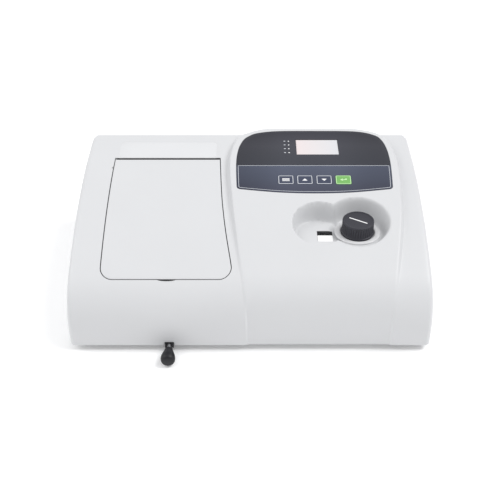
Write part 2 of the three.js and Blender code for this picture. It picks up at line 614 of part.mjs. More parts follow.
// ---------- monochromator ----------
function opticsBase() {
  const tray = box(-32, 200, -62, 132, 10, 16);
  return tray.subtract(box(-20, 60, 0, 40, 5, 20));
}
add('optics_base', opticsBase(), castAlloy);

function gratingTable() {
  const { y, z } = PIVOT;
  const axle = bar('x', 62, 134, [y, z], 4, 16);
  const platform = box(68, 104, y - 3, y + 3, z, z + 34);
  const arm = box(PIVOT.armX - 2.5, PIVOT.armX + 2.5, y - PIVOT.armLength, y, z, z + 4);
  return axle.add(platform).add(arm);
}
add('grating_table', gratingTable(), blackAnodised);
add('grating', box(70, 102, PIVOT.y - 9, PIVOT.y - 3.3, PIVOT.z + 4, PIVOT.z + 34), mirrorCoat);
function pivotBlock() {
  const { y, z } = PIVOT;
  let block = box(56, 140, y - 6, y + 6, TRAY_TOP_Z, 22);
  for (const x of [56, 135]) block = block.add(box(x, x + 5, y - 6, y + 6, 20, z + 8));
  return block;
}
add('grating_pivot_block', pivotBlock(), castAlloy);
add('collimating_mirror', bar('x', -14, -6, [MIRROR.y, MIRROR.z], MIRROR.r, 24), mirrorCoat);
add('mirror_mount', box(-24, -14 - GAP, MIRROR.y - 22, MIRROR.y + 22, TRAY_TOP_Z, 80), castAlloy);
add('entrance_slit', box(116, 118, 76, 104, TRAY_TOP_Z, 76)
  .subtract(box(110, 120, 89.5, 90.5, 52, 60)), blackAnodised);
add('exit_slit', box(-40.5, -38.5, BEAM.y - 14, BEAM.y + 14, 10, 74)
  .subtract(box(-45, -35, BEAM.y - 0.5, BEAM.y + 0.5, BEAM.z - 5, BEAM.z + 5)), blackAnodised);

// ---------- lamp, detector and supply ----------
function lampHousing() {
  const outer = box(138, 196, 62, 122, TRAY_TOP_Z, 92);
  return outer.subtract(box(140, 194, 64, 120, 18, 100)).subtract(bar('x', 130, 145, [LAMP.y, LAMP.z], 11, 20));
}
add('lamp_housing', lampHousing(), zincSheet);
add('condenser_lens', bar('x', 128, 134, [LAMP.y, LAMP.z], 13, 24, 10), lampGlass);
add('lens_ring', box(127, 135, LAMP.y - 18, LAMP.y + 18, TRAY_TOP_Z, 40), blackAnodised);
add('lamp_socket', bar('z', 18.3, 42, [LAMP.x, LAMP.y], 9, 20), whitePlastic);
add('lamp_bulb', turned([[0, 42.3], [5.5, 42.3], [6.5, 48], [6.5, 60], [4.5, 65], [0, 66.5]],
  LAMP.x, LAMP.y, 20), lampGlass);
add('detector_housing', box(-202, -162, -52, 14, 10, 76)
  .subtract(bar('x', -175, -150, [BEAM.y, BEAM.z], 6, 16)), castAlloy);
add('power_transformer', box(-96, -30, 84, 130, 20, 62).add(box(-86, -40, 76, 136, 10, 56)), ironCore);

export default group;
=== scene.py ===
# Looks of the benchtop spectrophotometer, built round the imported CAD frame.
# Shapes are worked out in millimetres with Y = 0 at the middle of the housing, as in the CAD,
# and turned into metres in the frame's own place when a mesh is made.
import json
import math

import bmesh
import bpy
from mathutils import Matrix, Vector


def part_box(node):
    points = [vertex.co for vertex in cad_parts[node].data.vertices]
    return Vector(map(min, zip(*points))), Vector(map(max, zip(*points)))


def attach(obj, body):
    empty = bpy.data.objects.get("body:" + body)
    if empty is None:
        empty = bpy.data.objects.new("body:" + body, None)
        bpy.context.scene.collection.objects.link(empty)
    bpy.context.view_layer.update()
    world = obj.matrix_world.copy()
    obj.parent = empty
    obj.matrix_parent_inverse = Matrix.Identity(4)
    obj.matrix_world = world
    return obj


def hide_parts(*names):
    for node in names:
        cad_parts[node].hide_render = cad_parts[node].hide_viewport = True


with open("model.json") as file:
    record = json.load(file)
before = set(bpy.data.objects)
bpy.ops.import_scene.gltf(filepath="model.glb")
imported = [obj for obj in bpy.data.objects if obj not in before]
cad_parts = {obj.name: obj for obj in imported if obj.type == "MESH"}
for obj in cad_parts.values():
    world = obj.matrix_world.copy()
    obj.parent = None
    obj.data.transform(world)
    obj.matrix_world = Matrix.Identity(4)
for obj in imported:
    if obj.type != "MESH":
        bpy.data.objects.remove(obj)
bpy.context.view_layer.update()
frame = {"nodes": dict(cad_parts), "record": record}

MM = 0.001
HALF_WIDTH = 210.0
REAR_Y = 143.0
BOTTOM_Z = 8.0
TOP_Z = 127.0
WALL = 3.0
CORNER_R = 9.0
UNDERCUT_Y = -118  # the side walls' lower edges are spread evenly in front of this
SHIFT_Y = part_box("upper_housing")[1].y / MM - REAR_Y  # from the middle of the housing to the frame's origin

# camera: level, on the middle line in front, looking down by VIEW_TILT degrees
VIEW_TILT = 37.0
VIEW_Y = -914.0
VIEW_Z = 729.0
LENS = 64.8


# -------------------- the housing's surface
LEVEL_END_Y = 98.0
FALL_R = 500.0
FALL_TO = math.radians(24)
SHOULDER_R = 62.0
SHOULDER_TO = math.radians(89)
FRONT_R = 300.0
REAR_FILLET = 2.0
SIDE_FILLET = 6.0
CROWN_LENGTH, CROWN_DROP = 14.0, 0.4  # how the top bends down towards its rear edge

SHIELD_RISE = 9.3
SHIELD_FADE = 2.2  # power with which the rise dies away towards the front
SHIELD_STEP = 1.5  # how far it sinks in again low on the front, over the heights below
STEP_LOW, STEP_SPAN = 45, 30
# outlines of the raised shield, as (y, x)
VALLEY = [(142, -18), (116, -25), (75, -29.7), (43, -29.5), (5, -26.8), (-35, -23), (-78, -17.5), (-144, -5)]
CREST = [(142, 24), (134, 6), (126, -6), (116, -14), (101, -19.5), (63, -24.5), (5, -21.5), (-41, -16.5),
         (-81, -11), (-144, -2)]
RIGHT_CREST = [(142, 136), (134, 158), (126, 169), (116, 175), (101, 180.5), (63, 184), (14, 182.5),
               (-27, 180), (-63, 175), (-110, 167), (-144, 161)]
RIGHT_FOOT = [(142, 177), (126, 184), (101, 188), (63, 190), (14, 188.5), (-27, 186), (-63, 181),
              (-110, 172.5), (-144, 165)]

FLOOR_Z = 97.7
KNOB_X, KNOB_Y, KNOB_R = 128.4, -41.6, 18.8
DISHES = [(KNOB_X, KNOB_Y, 28.5, 39.0), (83.0, -43.0, 27.0, 33.4)]  # x, y, floor radius, rim radius
DISH_SQUASH = 0.91
DISH_DEPTH = 22.0
DISH_CURVE = 2.0
RIM_BLEND = 9.0

# lid, its hinge and the label recess behind it
LID_LEFT, LID_FRONT, LID_REAR, LID_CORNER = -172.5, -110.0, 78.4, 14.0
LID_EDGE = [(82.5, -38.8), (3, -34.7), (-48, -29.4), (-95, -22)]  # right edge, (y, x)
LID_GAP, LID_REAR_GAP = 1.0, 4.0
LID_THICK = 3.0
HINGE_Y, HINGE_Z = 72.0, 121.1
HINGE_XS = (-146, -64)
KNUCKLE_R = 1.9
EAR_OFFSET, EAR_HALF, EAR_RISE = 8, 2.7, 2.7
# the gasket sits just under the surface in the lid's gap, so it also paints the gap's shade line
GASKET_WIDTH, GASKET_TOP, GASKET_BOTTOM = 1.2, 0.5, 2.5
GASKET_CLEAR = 14  # the gasket stops this far in front of the hinge
# painted shade: right end and width of the dark strip in the gap behind the lid
SHADE_STRIP_RIGHT, SHADE_STRIP_WIDTH = -36.5, 1.6
LABEL_X0, LABEL_X1, LABEL_Y0, LABEL_REAR = -172, -41, 60, 124.0
LABEL_CORNER, LABEL_DEPTH, LABEL_SOFT = 9, 0.6, 3.0
SCOOP_AT = (-96.0, -111.0, 82.0)  # finger scoop at the front of the lid
SCOOP_HALF = (12.0, 5.0, 2.8)

# printed film, display and keys
OVERLAY_SIDES = [
    [(-16, 9.5), (35, 3.6), (80, 2), (125, 3.6), (174.6, 9.5)],
    [(174.6, 9.5), (176.8, 55), (175.8, 88), (171.5, 111), (163, 124), (139, 133.5), (88, 135),
     (37, 134.4), (11, 129.5), (0, 122.5), (-8.5, 111), (-14.7, 88), (-17.2, 57), (-16, 9.5)],
]
OVERLAY_DEPTH = 135  # front to rear
OVERLAY_CORNER = 4.5
DIVIDER_Y = 52.3  # where the film's lower band ends
DISPLAY = (59.6, 113.6, 76.2, 112.0)  # x0, x1, y0, y1
KEY_XS = (34.8, 58.2, 82.0, 105.8)
KEY_W, KEY_Y0, KEY_Y1 = 19.0, 17.2, 32.6
KEY_WELL = 2.4
LINE_RISE = 0.28  # how far the print stands above the housing's surface

# wavelength knob, window and number wheels
# outlines of the knob's foot and head, from its radius and its lower and upper face
KNOB_FOOT = [(0.6, 0), (0.9, 0.4), (0.9, 1.9), (0.6, 2.3), (0.1, 2.5), (0, 3.3), (0, 3.7)]
KNOB_HEAD = [(0, -1.5), (-0.02, -0.95), (-0.2, -0.4), (-0.6, -0.08), (-1.0, 0), (-1.9, 0),
             (-2.2, -0.15), (-2.4, -0.6), (-3.2, -0.75)]
RIBS = 40
RIB_DEPTHS = (0.0, 0.0, 0.15, 0.85, 0.85, 0.15)  # one rib and one groove
INDEX_TILT = math.radians(-30.5)
COLLAR_HOLE_R = 20.6
SHAFT_HOLE_R = 3.6
WINDOW = (80.0, 98.6, -59.4, -38.3)  # x0, x1, y0, y1
MASK_REAR = -47.0  # the window's white print ends here and its clear strip begins
DRUM_Z, DRUM_R = 83.0, 11.0
WHEELS = [(80.2, 85.4, 5), (86.4, 92.6, 4), (93.6, 98.8, 6)]  # x0, x1 and the digit on top

# pull rod and its handle
ROD_X = -94
ROD_NOTCH = 5.6
HANDLE = [(0, -172), (4.8, -171.8), (6.4, -171.2), (7.5, -170.2), (8.2, -168.7), (8.5, -166.8),
          (8.5, -165.0), (8.3, -163.2), (7.9, -161.4), (7.4, -159.8), (6.9, -158.2), (6.3, -156.6),
          (5.8, -155.0), (5.3, -153.4), (4.9, -151.6), (4.6, -150.6), (4.1, -150.1), (3.0, -150.0),
          (0, -150)]  # radius, y
HANDLE_SIDES = 120
KNURLS, KNURL_TWIST, KNURL_DEPTH, KNURL_MIN_R = 15, 1.7, 0.35, 4.55

FIT = 0.3  # clearance round a piece let into another
ABOVE = 150.0  # higher than the whole instrument
FLOOR_SIZE = 6.0  # metres from the middle to an edge of the studio floor

FALL_END_Y = LEVEL_END_Y - FALL_R * math.sin(FALL_TO)
FALL_END_Z = TOP_Z - FALL_R * (1 - math.cos(FALL_TO))
SHOULDER_END_Y = FALL_END_Y - SHOULDER_R * (math.sin(SHOULDER_TO) - math.sin(FALL_TO))
SHOULDER_END_Z = FALL_END_Z - SHOULDER_R * (math.cos(FALL_TO) - math.cos(SHOULDER_TO))
FRONT_TO = math.acos(math.cos(SHOULDER_TO) - (SHOULDER_END_Z - BOTTOM_Z) / FRONT_R)


def along(points, y):
    """A smooth curve through (y, x) points, read at one y."""
    i = 0
    while i < len(points) - 2 and y < points[i + 1][0]:
        i += 1

    def slope_at(k):
        a, b = points[max(k - 1, 0)], points[min(k + 1, len(points) - 1)]
        return (b[1] - a[1]) / (b[0] - a[0])

    (y0, x0), (y1, x1) = points[i], points[i + 1]
    t = (y - y0) / (y1 - y0)
    m0, m1 = slope_at(i) * (y1 - y0), slope_at(i + 1) * (y1 - y0)
    return (x0 * (2 * t**3 - 3 * t**2 + 1) + m0 * (t**3 - 2 * t**2 + t)
            + x1 * (3 * t**2 - 2 * t**3) + m1 * (t**3 - t**2))


def smooth(t):
    t = min(max(t, 0.0), 1.0)
    return t * t * (3 - 2 * t)


def side_height(y):
    """(z, slope) of the housing's side outline over the part that can be read from above."""
    if y >= LEVEL_END_Y:
        bend = max(y - (REAR_Y - CROWN_LENGTH), 0.0) / CROWN_LENGTH
        return TOP_Z - CROWN_DROP * bend * bend, 0.0
    if y >= FALL_END_Y:
        slope = math.asin((LEVEL_END_Y - y) / FALL_R)
        return TOP_Z - FALL_R * (1 - math.cos(slope)), slope
    slope = math.asin(min(math.sin(FALL_TO) + (FALL_END_Y - y) / SHOULDER_R, math.sin(SHOULDER_TO)))
    return FALL_END_Z - SHOULDER_R * (math.cos(FALL_TO) - math.cos(slope)), slope


def shield_rise(y, z):
    """How far the shield stands out from the rest of the housing."""
    back = min(max((y + REAR_Y) / (2 * REAR_Y), 0.0), 1.0)
    return SHIELD_RISE * (1 - (1 - back) ** SHIELD_FADE) - SHIELD_STEP * (
        1 - smooth((z - STEP_LOW) / STEP_SPAN))


def shield_share(x, y):
    """0 off the shield, 1 on it, with a soft wall between its foot and its crest."""
    if x < along(CREST, y):
        foot = along(VALLEY, y)
        return smooth((x - foot) / (along(CREST, y) - foot))
    if x > along(RIGHT_CREST, y):
        foot = along(RIGHT_FOOT, y)
        return smooth((foot - x) / (foot - along(RIGHT_CREST, y)))
    return 1.0


def soft_min(a, b, blend):
    """The smaller of two values, with the change from one to the other blended."""
    h = min(max(0.5 + 0.5 * (b - a) / blend, 0.0), 1.0)
    return b + (a - b) * h - blend * h * (1 - h)


def dished(x, y, z, inset=0.0):
    """Surface height z with the double recess pressed into it."""
    depths = []
    for cx, cy, floor_r, rim_r in DISHES:
        r = math.hypot(x - cx, (y - cy) / DISH_SQUASH)
        t = max(r - floor_r - inset, 0.0) / (rim_r - floor_r)
        depths.append(FLOOR_Z - inset + DISH_DEPTH * min(t, 2.0) ** DISH_CURVE)
    lowest = soft_min(depths[0], depths[1], RIM_BLEND)
    return soft_min(z, lowest, RIM_BLEND) if lowest < z + 2 * RIM_BLEND else z


def top_height(x, y):
    """Height of the finished top surface at a plan point, without the double recess."""
    source = y
    for _ in range(4):
        z, slope = side_height(source)
        lift = shield_rise(source, z) * shield_share(x, source)
        source = y + math.sin(slope) * lift
    return z + math.cos(slope) * lift


# -------------------- mesh helpers
def place(points):
    return [(x * MM, (y + SHIFT_Y) * MM, z * MM) for x, y, z in points]


def linked(name, data):
    obj = bpy.data.objects.new(name, data)
    bpy.context.scene.collection.objects.link(obj)
    return obj


def make(name, points, faces):
    mesh = bpy.data.meshes.new(name)
    mesh.from_pydata(place(points), [], faces)
    mesh.validate()
    return linked(name, mesh)


def from_bmesh(name, bm):
    mesh = bpy.data.meshes.new(name)
    bm.to_mesh(mesh)
    bm.free()
    return linked(name, mesh)


def level(z):
    return lambda x, y: z


def from_top(offset):
    """A height function that follows the top surface at an offset."""
    return lambda x, y: top_height(x, y) + offset


def soften(obj, angle=40):
    """Smooth shading, with edges sharper than the angle kept crisp."""
    for polygon in obj.data.polygons:
        polygon.use_smooth = True
    obj.data.set_sharp_from_angle(angle=math.radians(angle))
    return obj


def outward(obj):
    bm = bmesh.new()
    bm.from_mesh(obj.data)
    bmesh.ops.recalc_face_normals(bm, faces=bm.faces)
    bm.to_mesh(obj.data)
    bm.free()
    return obj


def apply_modifiers(obj):
    """The object's mesh becomes what its modifiers make of it."""
    bpy.context.view_layer.update()
    evaluated = obj.evaluated_get(bpy.context.evaluated_depsgraph_get())
    mesh = bpy.data.meshes.new_from_object(evaluated)
    old = obj.data
    obj.modifiers.clear()
    obj.data = mesh
    mesh.name = obj.name
    bpy.data.meshes.remove(old)
    return obj


def cut(obj, *cutters):
    """Cutters are taken away one at a time, because joined ones that overlap empty the mesh."""
    for cutter in cutters:
        modifier = obj.modifiers.new("cut", "BOOLEAN")
        modifier.operation = "DIFFERENCE"
        modifier.solver = "EXACT"
        modifier.object = cutter
        apply_modifiers(obj)
        bpy.data.objects.remove(cutter, do_unlink=True)
    return obj


def join(name, parts):
    """One object holding the meshes of several, which are removed."""
    bm = bmesh.new()
    for part in parts:
        bm.from_mesh(part.data)
    for part in parts:
        bpy.data.objects.remove(part, do_unlink=True)
    return from_bmesh(name, bm)


def strips(count, rows, closed_rows=False):
    """Quads between rows of count points each that run round a closed loop."""
    faces = []
    spans = rows if closed_rows else rows - 1
    for j in range(spans):
        for i in range(count):
            a, b = j * count + i, j * count + (i + 1) % count
            up = ((j + 1) % rows) * count
            faces.append((a, b, up + (i + 1) % count, up + i))
    return faces


def end_fans(count, rows):
    """Triangles that close both ends of such rows, from a first and to a last single point."""
    start, end = 1 + (rows - 1) * count, 1 + rows * count
    return ([(0, 1 + (i + 1) % count, 1 + i) for i in range(count)]
            + [(end, start + i, start + (i + 1) % count) for i in range(count)])


def inset_loop(loop, distance):
    """A closed plan outline (counter-clockwise) moved inwards."""
    moved = []
    for i, (x, y) in enumerate(loop):
        ax, ay = loop[i - 1]
        bx, by = loop[(i + 1) % len(loop)]
        dx, dy = bx - ax, by - ay
        length = math.hypot(dx, dy) or 1.0
        moved.append((x - dy / length * distance, y + dx / length * distance))
    return moved


def resample(loop, step):
    """A closed outline with points at an even spacing, keeping its own corners."""
    points = []
    for i, (x, y) in enumerate(loop):
        nx, ny = loop[(i + 1) % len(loop)]
        count = max(1, round(math.hypot(nx - x, ny - y) / step))
        points += [(x + (nx - x) * k / count, y + (ny - y) * k / count) for k in range(count)]
    return points


def plate(name, loop, top, bottom, edge=0.0, rings=8, edge_steps=2):
    """A closed sheet over a plan outline between two height functions, its upper edge rounded."""
    n = len(loop)
    cx = sum(x for x, _ in loop) / n
    cy = sum(y for _, y in loop) / n
    points = [(cx, cy, bottom(cx, cy))]

    def inner_ring(source, share, height):
        for x, y in source:
            px, py = cx + (x - cx) * share, cy + (y - cy) * share
            points.append((px, py, height(px, py)))

    for k in range(1, rings + 1):
        inner_ring(loop, k / rings, bottom)
    for k in range(edge_steps + 1 if edge else 1):
        angle = math.pi / 2 * k / edge_steps
        inset = edge * (1 - math.cos(angle))
        drop = edge * (1 - math.sin(angle)) if edge else 0.0
        points += [(x, y, top(x, y) - drop) for x, y in inset_loop(loop, inset)]
    last = inset_loop(loop, edge)
    for k in range(rings - 1, 0, -1):
        inner_ring(last, k / rings, top)
    points.append((cx, cy, top(cx, cy)))
    rows = (len(points) - 2) // n
    faces = [tuple(1 + i for i in face) for face in strips(n, rows)]
    faces += end_fans(n, rows)
    return outward(make(name, points, faces))


def band(name, loop, width, top, depth):
    """A thin printed line: a closed strip inside a plan outline, standing on the surface."""
    inner = inset_loop(loop, width)
    points = []
    for ring, drop in ((loop, depth), (loop, 0.0), (inner, 0.0), (inner, depth)):
        points += [(x, y, top(x, y) - drop) for x, y in ring]
    return outward(make(name, points, strips(len(loop), 4, closed_rows=True)))


def turned(name, profile, sides, centre, axis="z", ripple=None, squash=1.0):
    """A turned body from (radius, height) points, from the axis back to the axis."""
    cx, cy, cz = centre
    body = profile[1:-1]
    points = []

    def put(r, angle, h):
        a, b = r * math.cos(angle), r * math.sin(angle)
        points.append((cx + a, cy + b * squash, cz + h) if axis == "z" else (cx + a, cy + h, cz + b))

    put(0, 0, profile[0][1])
    for r, h in body:
        for i in range(sides):
            angle = 2 * math.pi * i / sides
            put(r - (ripple(r, h, i) if ripple else 0.0), angle, h)
    put(0, 0, profile[-1][1])
    faces = [tuple(1 + i for i in face) for face in strips(sides, len(body))]
    faces += end_fans(sides, len(body))
    return outward(make(name, points, faces))


def arc_points(cx, cy, r, start, end, count):
    angles = [math.radians(start + (end - start) * i / count) for i in range(count + 1)]
    return [(cx + r * math.cos(a), cy + r * math.sin(a)) for a in angles]


def rounded_rect(x0, x1, y0, y1, r, count=5):
    return (arc_points(x1 - r, y0 + r, r, -90, 0, count) + arc_points(x1 - r, y1 - r, r, 0, 90, count)
            + arc_points(x0 + r, y1 - r, r, 90, 180, count) + arc_points(x0 + r, y0 + r, r, 180, 270, count))


def block(name, x0, x1, y0, y1, z0, z1):
    corners = [(x, y, z) for z in (z0, z1) for x, y in ((x0, y0), (x1, y0), (x1, y1), (x0, y1))]
    faces = [(3, 2, 1, 0), (4, 5, 6, 7), (0, 1, 5, 4), (1, 2, 6, 5), (2, 3, 7, 6), (3, 0, 4, 7)]
    return make(name, corners, faces)


# -------------------- housing shell
def spread(start, end, step):
    count = max(1, math.ceil(abs(end - start) / step))
    return [start + (end - start) * i / count for i in range(count)]


def shell_rows(fine):
    """(y, z, slope) stations from the top of the rear wall over the top and down the front."""
    dense, coarse = (1.3, 3.0) if fine else (3.0, 6.0)
    rows = []
    steps = 5 if fine else 2
    for i in range(steps):
        slope = -math.pi / 2 * (1 - i / steps)
        rows.append((REAR_Y - REAR_FILLET * (1 + math.sin(slope)),
                     TOP_Z - CROWN_DROP - REAR_FILLET * (1 - math.cos(slope)), slope))
    flat = (spread(REAR_Y - REAR_FILLET, REAR_Y - CORNER_R, 1.5) + spread(REAR_Y - CORNER_R, 2, coarse)
            + spread(2, -88, dense) + spread(-88, FALL_END_Y, coarse))
    rows += [(y, *side_height(y)) for y in flat]
    for slope in spread(FALL_TO, SHOULDER_TO, math.radians(2.0 if fine else 8.0)):
        rows.append((FALL_END_Y - SHOULDER_R * (math.sin(slope) - math.sin(FALL_TO)),
                     FALL_END_Z - SHOULDER_R * (math.cos(FALL_TO) - math.cos(slope)), slope))
    for slope in spread(SHOULDER_TO, FRONT_TO, (FRONT_TO - SHOULDER_TO) / 12) + [FRONT_TO]:
        rows.append((SHOULDER_END_Y - FRONT_R * (math.sin(slope) - math.sin(SHOULDER_TO)),
                     SHOULDER_END_Z - FRONT_R * (math.cos(SHOULDER_TO) - math.cos(slope)), slope))
    return rows


def shell_columns(y, fine):
    """x stations across the housing at one y: side fillets, margins, soft walls and the shield."""
    valley, crest, right, foot = (along(line, y) for line in (VALLEY, CREST, RIGHT_CREST, RIGHT_FOOT))
    fillet = [SIDE_FILLET * (1 - math.cos(math.pi / 2 * i / 5)) for i in range(6)]
    counts = [5, 40, 9, 152, 7, 5] if fine else [3, 20, 4, 56, 3, 3]
    marks = [-HALF_WIDTH + SIDE_FILLET, -HALF_WIDTH + CORNER_R, valley, crest, right, foot,
             HALF_WIDTH - SIDE_FILLET]
    xs = [-HALF_WIDTH + d for d in fillet[:-1]]
    for start, end, count in zip(marks, marks[1:], counts):
        xs += [start + (end - start) * i / count for i in range(count)]
    return xs + [HALF_WIDTH - d for d in reversed(fillet)]


def corner_rounded(x, y):
    """Plan point moved so that the square rear corners become quarter circles."""
    r = CORNER_R
    p = (abs(x) - (HALF_WIDTH - r)) / r
    q = (y - (REAR_Y - r)) / r
    if p <= 0 or q <= 0:
        return x, y
    scale = max(p, q) / math.hypot(p, q)
    return math.copysign(HALF_WIDTH - r + p * scale * r, x), REAR_Y - r + q * scale * r


def shell_solid(name, fine, inset=0.0, floor_z=BOTTOM_Z):
    """The housing as a closed block: its outer skin pulled in by an inset, with a flat underside."""
    width_scale = (HALF_WIDTH - inset) / HALF_WIDTH
    points, edge_rows = [], shell_rows(fine)
    columns = 0
    for y, z, slope in edge_rows:
        xs = shell_columns(y, fine)
        columns = len(xs)
        for x in xs:
            from_edge = HALF_WIDTH - abs(x)
            sink = 0.0
            if from_edge < SIDE_FILLET:
                sink = SIDE_FILLET - math.sqrt(max(SIDE_FILLET**2 - (SIDE_FILLET - from_edge) ** 2, 0.0))
            lift = shield_rise(y, z) * shield_share(x, y) - (0.0 if inset else label_sink(x, y))
            tilt = max(slope, 0.0)
            out = lift - sink - inset
            py, pz = y - math.sin(tilt) * out, z + math.cos(tilt) * out
            if slope < FALL_TO:
                pz = dished(x, py, pz, inset)
            px, py = corner_rounded(x, py)
            if inset:
                px, py = px * width_scale, min(py, REAR_Y - inset)
            points.append((px, py, max(pz, floor_z) if slope < SHOULDER_TO else pz))
    rows = len(edge_rows)
    front = points[(rows - 1) * columns:]
    points[(rows - 1) * columns:] = [(x, y, floor_z) for x, y, _ in front]
    faces = []
    for j in range(rows - 1):
        for i in range(columns - 1):
            a = j * columns + i
            faces.append((a, a + columns, a + columns + 1, a + 1))
    # rear wall: down from the first row, then both side walls down from the edge columns
    rear = len(points)
    points += [(x, y, floor_z) for x, y, _ in points[:columns]]
    faces += [(i, i + 1, rear + i + 1, rear + i) for i in range(columns - 1)]
    last_y = points[(rows - 1) * columns][1]
    turn_row = next(j for j in range(rows) if points[j * columns][1] < UNDERCUT_Y)
    turn_y = points[turn_row * columns][1]
    for side, edge in ((0, 0), (1, columns - 1)):
        below = [rear + edge]
        for j in range(1, rows - 1):
            x, y, _ = points[j * columns + edge]
            if j > turn_row:
                y = turn_y + (last_y - turn_y) * (j - turn_row) / (rows - 1 - turn_row)
            below.append(len(points))
            points.append((x, y, floor_z))
        below.append((rows - 1) * columns + edge)
        for j in range(rows - 1):
            quad = [j * columns + edge, below[j], below[j + 1], (j + 1) * columns + edge]
            quad = list(dict.fromkeys(quad))
            faces.append(tuple(quad if side == 0 else reversed(quad)))
    bm = bmesh.new()
    for point in place(points):
        bm.verts.new(point)
    bm.verts.ensure_lookup_table()
    for face in faces:
        bm.faces.new([bm.verts[i] for i in face])
    rim = [edge for edge in bm.edges if edge.is_boundary]
    bmesh.ops.contextual_create(bm, geom=rim)
    bmesh.ops.recalc_face_normals(bm, faces=bm.faces)
    return from_bmesh(name, bm)


# -------------------- plan outlines
def lid_loop(grow, rear):
    left, front, r = LID_LEFT - grow, LID_FRONT - grow, LID_CORNER + grow
    loop = arc_points(left + r, front + r, r, 180, 270, 12)
    right = LID_EDGE[-1][1] + grow
    loop += arc_points(right - r, front + r, r, 270, 360, 12)
    count = 24
    for i in range(1, count + 1):
        y = LID_EDGE[-1][0] + (rear - LID_EDGE[-1][0]) * i / count
        loop.append((along(LID_EDGE, min(y, LID_EDGE[0][0])) + grow, y))
    return loop + [(left, rear)]


def smooth_through(points, per_span):
    """Points along a Catmull-Rom curve through the given ones."""
    curve = []
    for i in range(len(points) - 1):
        p0, p1, p2, p3 = (points[min(max(k, 0), len(points) - 1)] for k in range(i - 1, i + 3))
        for k in range(per_span):
            t = k / per_span
            curve.append(tuple(
                0.5 * (2 * b + (c - a) * t + (2 * a - 5 * b + 4 * c - d) * t * t
                       + (3 * b - a - 3 * c + d) * t**3)
                for a, b, c, d in zip(p0, p1, p2, p3)))
    return curve


def rounded_corners(loop, corners, reach):
    """The outline with its named corners rounded off over a reach along both sides."""
    out = []
    n = len(loop)
    for i, point in enumerate(loop):
        near = [c for c in corners if math.dist(point, c) < reach]
        if not near:
            out.append(point)
        elif math.dist(point, near[0]) < 1e-6:
            ends = []
            for step in (-1, 1):
                k = i
                while math.dist(loop[k % n], point) < reach:
                    k += step
                a = loop[k % n]
                share = reach / math.dist(a, point)
                ends.append((point[0] + (a[0] - point[0]) * share, point[1] + (a[1] - point[1]) * share))
            (ax, ay), (bx, by) = ends
            for t in (0, 0.17, 0.33, 0.5, 0.67, 0.83, 1):
                out.append(tuple((1 - t) ** 2 * a + 2 * t * (1 - t) * c + t * t * b
                                 for a, c, b in zip((ax, ay), point, (bx, by))))
    return out


def overlay_loop(inset):
    loop = [point for side in OVERLAY_SIDES for point in smooth_through(side, 10)]
    corners = [OVERLAY_SIDES[0][0], OVERLAY_SIDES[0][-1]]
    return inset_loop(rounded_corners(loop, corners, OVERLAY_CORNER), inset)


# -------------------- materials
def new_material(name):
    material = bpy.data.materials.new(name)
    material.use_nodes = True
    nodes = material.node_tree.nodes
    shader = nodes["Principled BSDF"]
    return material, nodes, material.node_tree.links, shader


def position(nodes, links, scale=(1, 1, 1)):
    coords = nodes.new("ShaderNodeTexCoord")
    mapping = nodes.new("ShaderNodeMapping")
    mapping.inputs["Scale"].default_value = scale
    links.new(coords.outputs["Object"], mapping.inputs["Vector"])
    return mapping.outputs["Vector"]


def noise(nodes, links, vector, scale, detail=3.0, roughness=0.55):
    node = nodes.new("ShaderNodeTexNoise")
    node.inputs["Scale"].default_value = scale
    node.inputs["Detail"].default_value = detail
    node.inputs["Roughness"].default_value = roughness
    links.new(vector, node.inputs["Vector"])
    return node.outputs["Fac"]


def ramp(nodes, links, factor, stops):
    node = nodes.new("ShaderNodeValToRGB")
    elements = node.color_ramp.elements
    elements[0].position, elements[0].color = stops[0][0], (*stops[0][1], 1)
    elements[1].position, elements[1].color = stops[-1][0], (*stops[-1][1], 1)
    for place_at, color in stops[1:-1]:
        element = elements.new(place_at)
        element.color = (*color, 1)
    links.new(factor, node.inputs["Fac"])
    return node.outputs["Color"]


def spread_value(nodes, links, factor, low, high):
    node = nodes.new("ShaderNodeMapRange")
    node.inputs["To Min"].default_value = low
    node.inputs["To Max"].default_value = high
    links.new(factor, node.inputs["Value"])
    return node.outputs["Result"]


def share_between(nodes, links, value, low, high):
    """0 where the value is low, 1 where it is high."""
    node = nodes.new("ShaderNodeMapRange")
    node.inputs["From Min"].default_value = low
    node.inputs["From Max"].default_value = high
    links.new(value, node.inputs["Value"])
    return node.outputs["Result"]


def multiplied(nodes, links, first, second):
    node = nodes.new("ShaderNodeMix")
    node.data_type = "RGBA"
    node.blend_type = "MULTIPLY"
    node.inputs["Factor"].default_value = 1.0
    links.new(first, node.inputs["A"])
    links.new(second, node.inputs["B"])
    return node.outputs["Result"]


def split_position(nodes, links):
    where = position(nodes, links)
    split = nodes.new("ShaderNodeSeparateXYZ")
    links.new(where, split.inputs["Vector"])
    return where, split


def bumped(nodes, links, shader, factor, strength, distance):
    bump = nodes.new("ShaderNodeBump")
    bump.inputs["Strength"].default_value = strength
    bump.inputs["Distance"].default_value = distance
    links.new(factor, bump.inputs["Height"])
    links.new(bump.outputs["Normal"], shader.inputs["Normal"])


def scaled(color, factor):
    return tuple(min(channel * factor, 1.0) for channel in color)


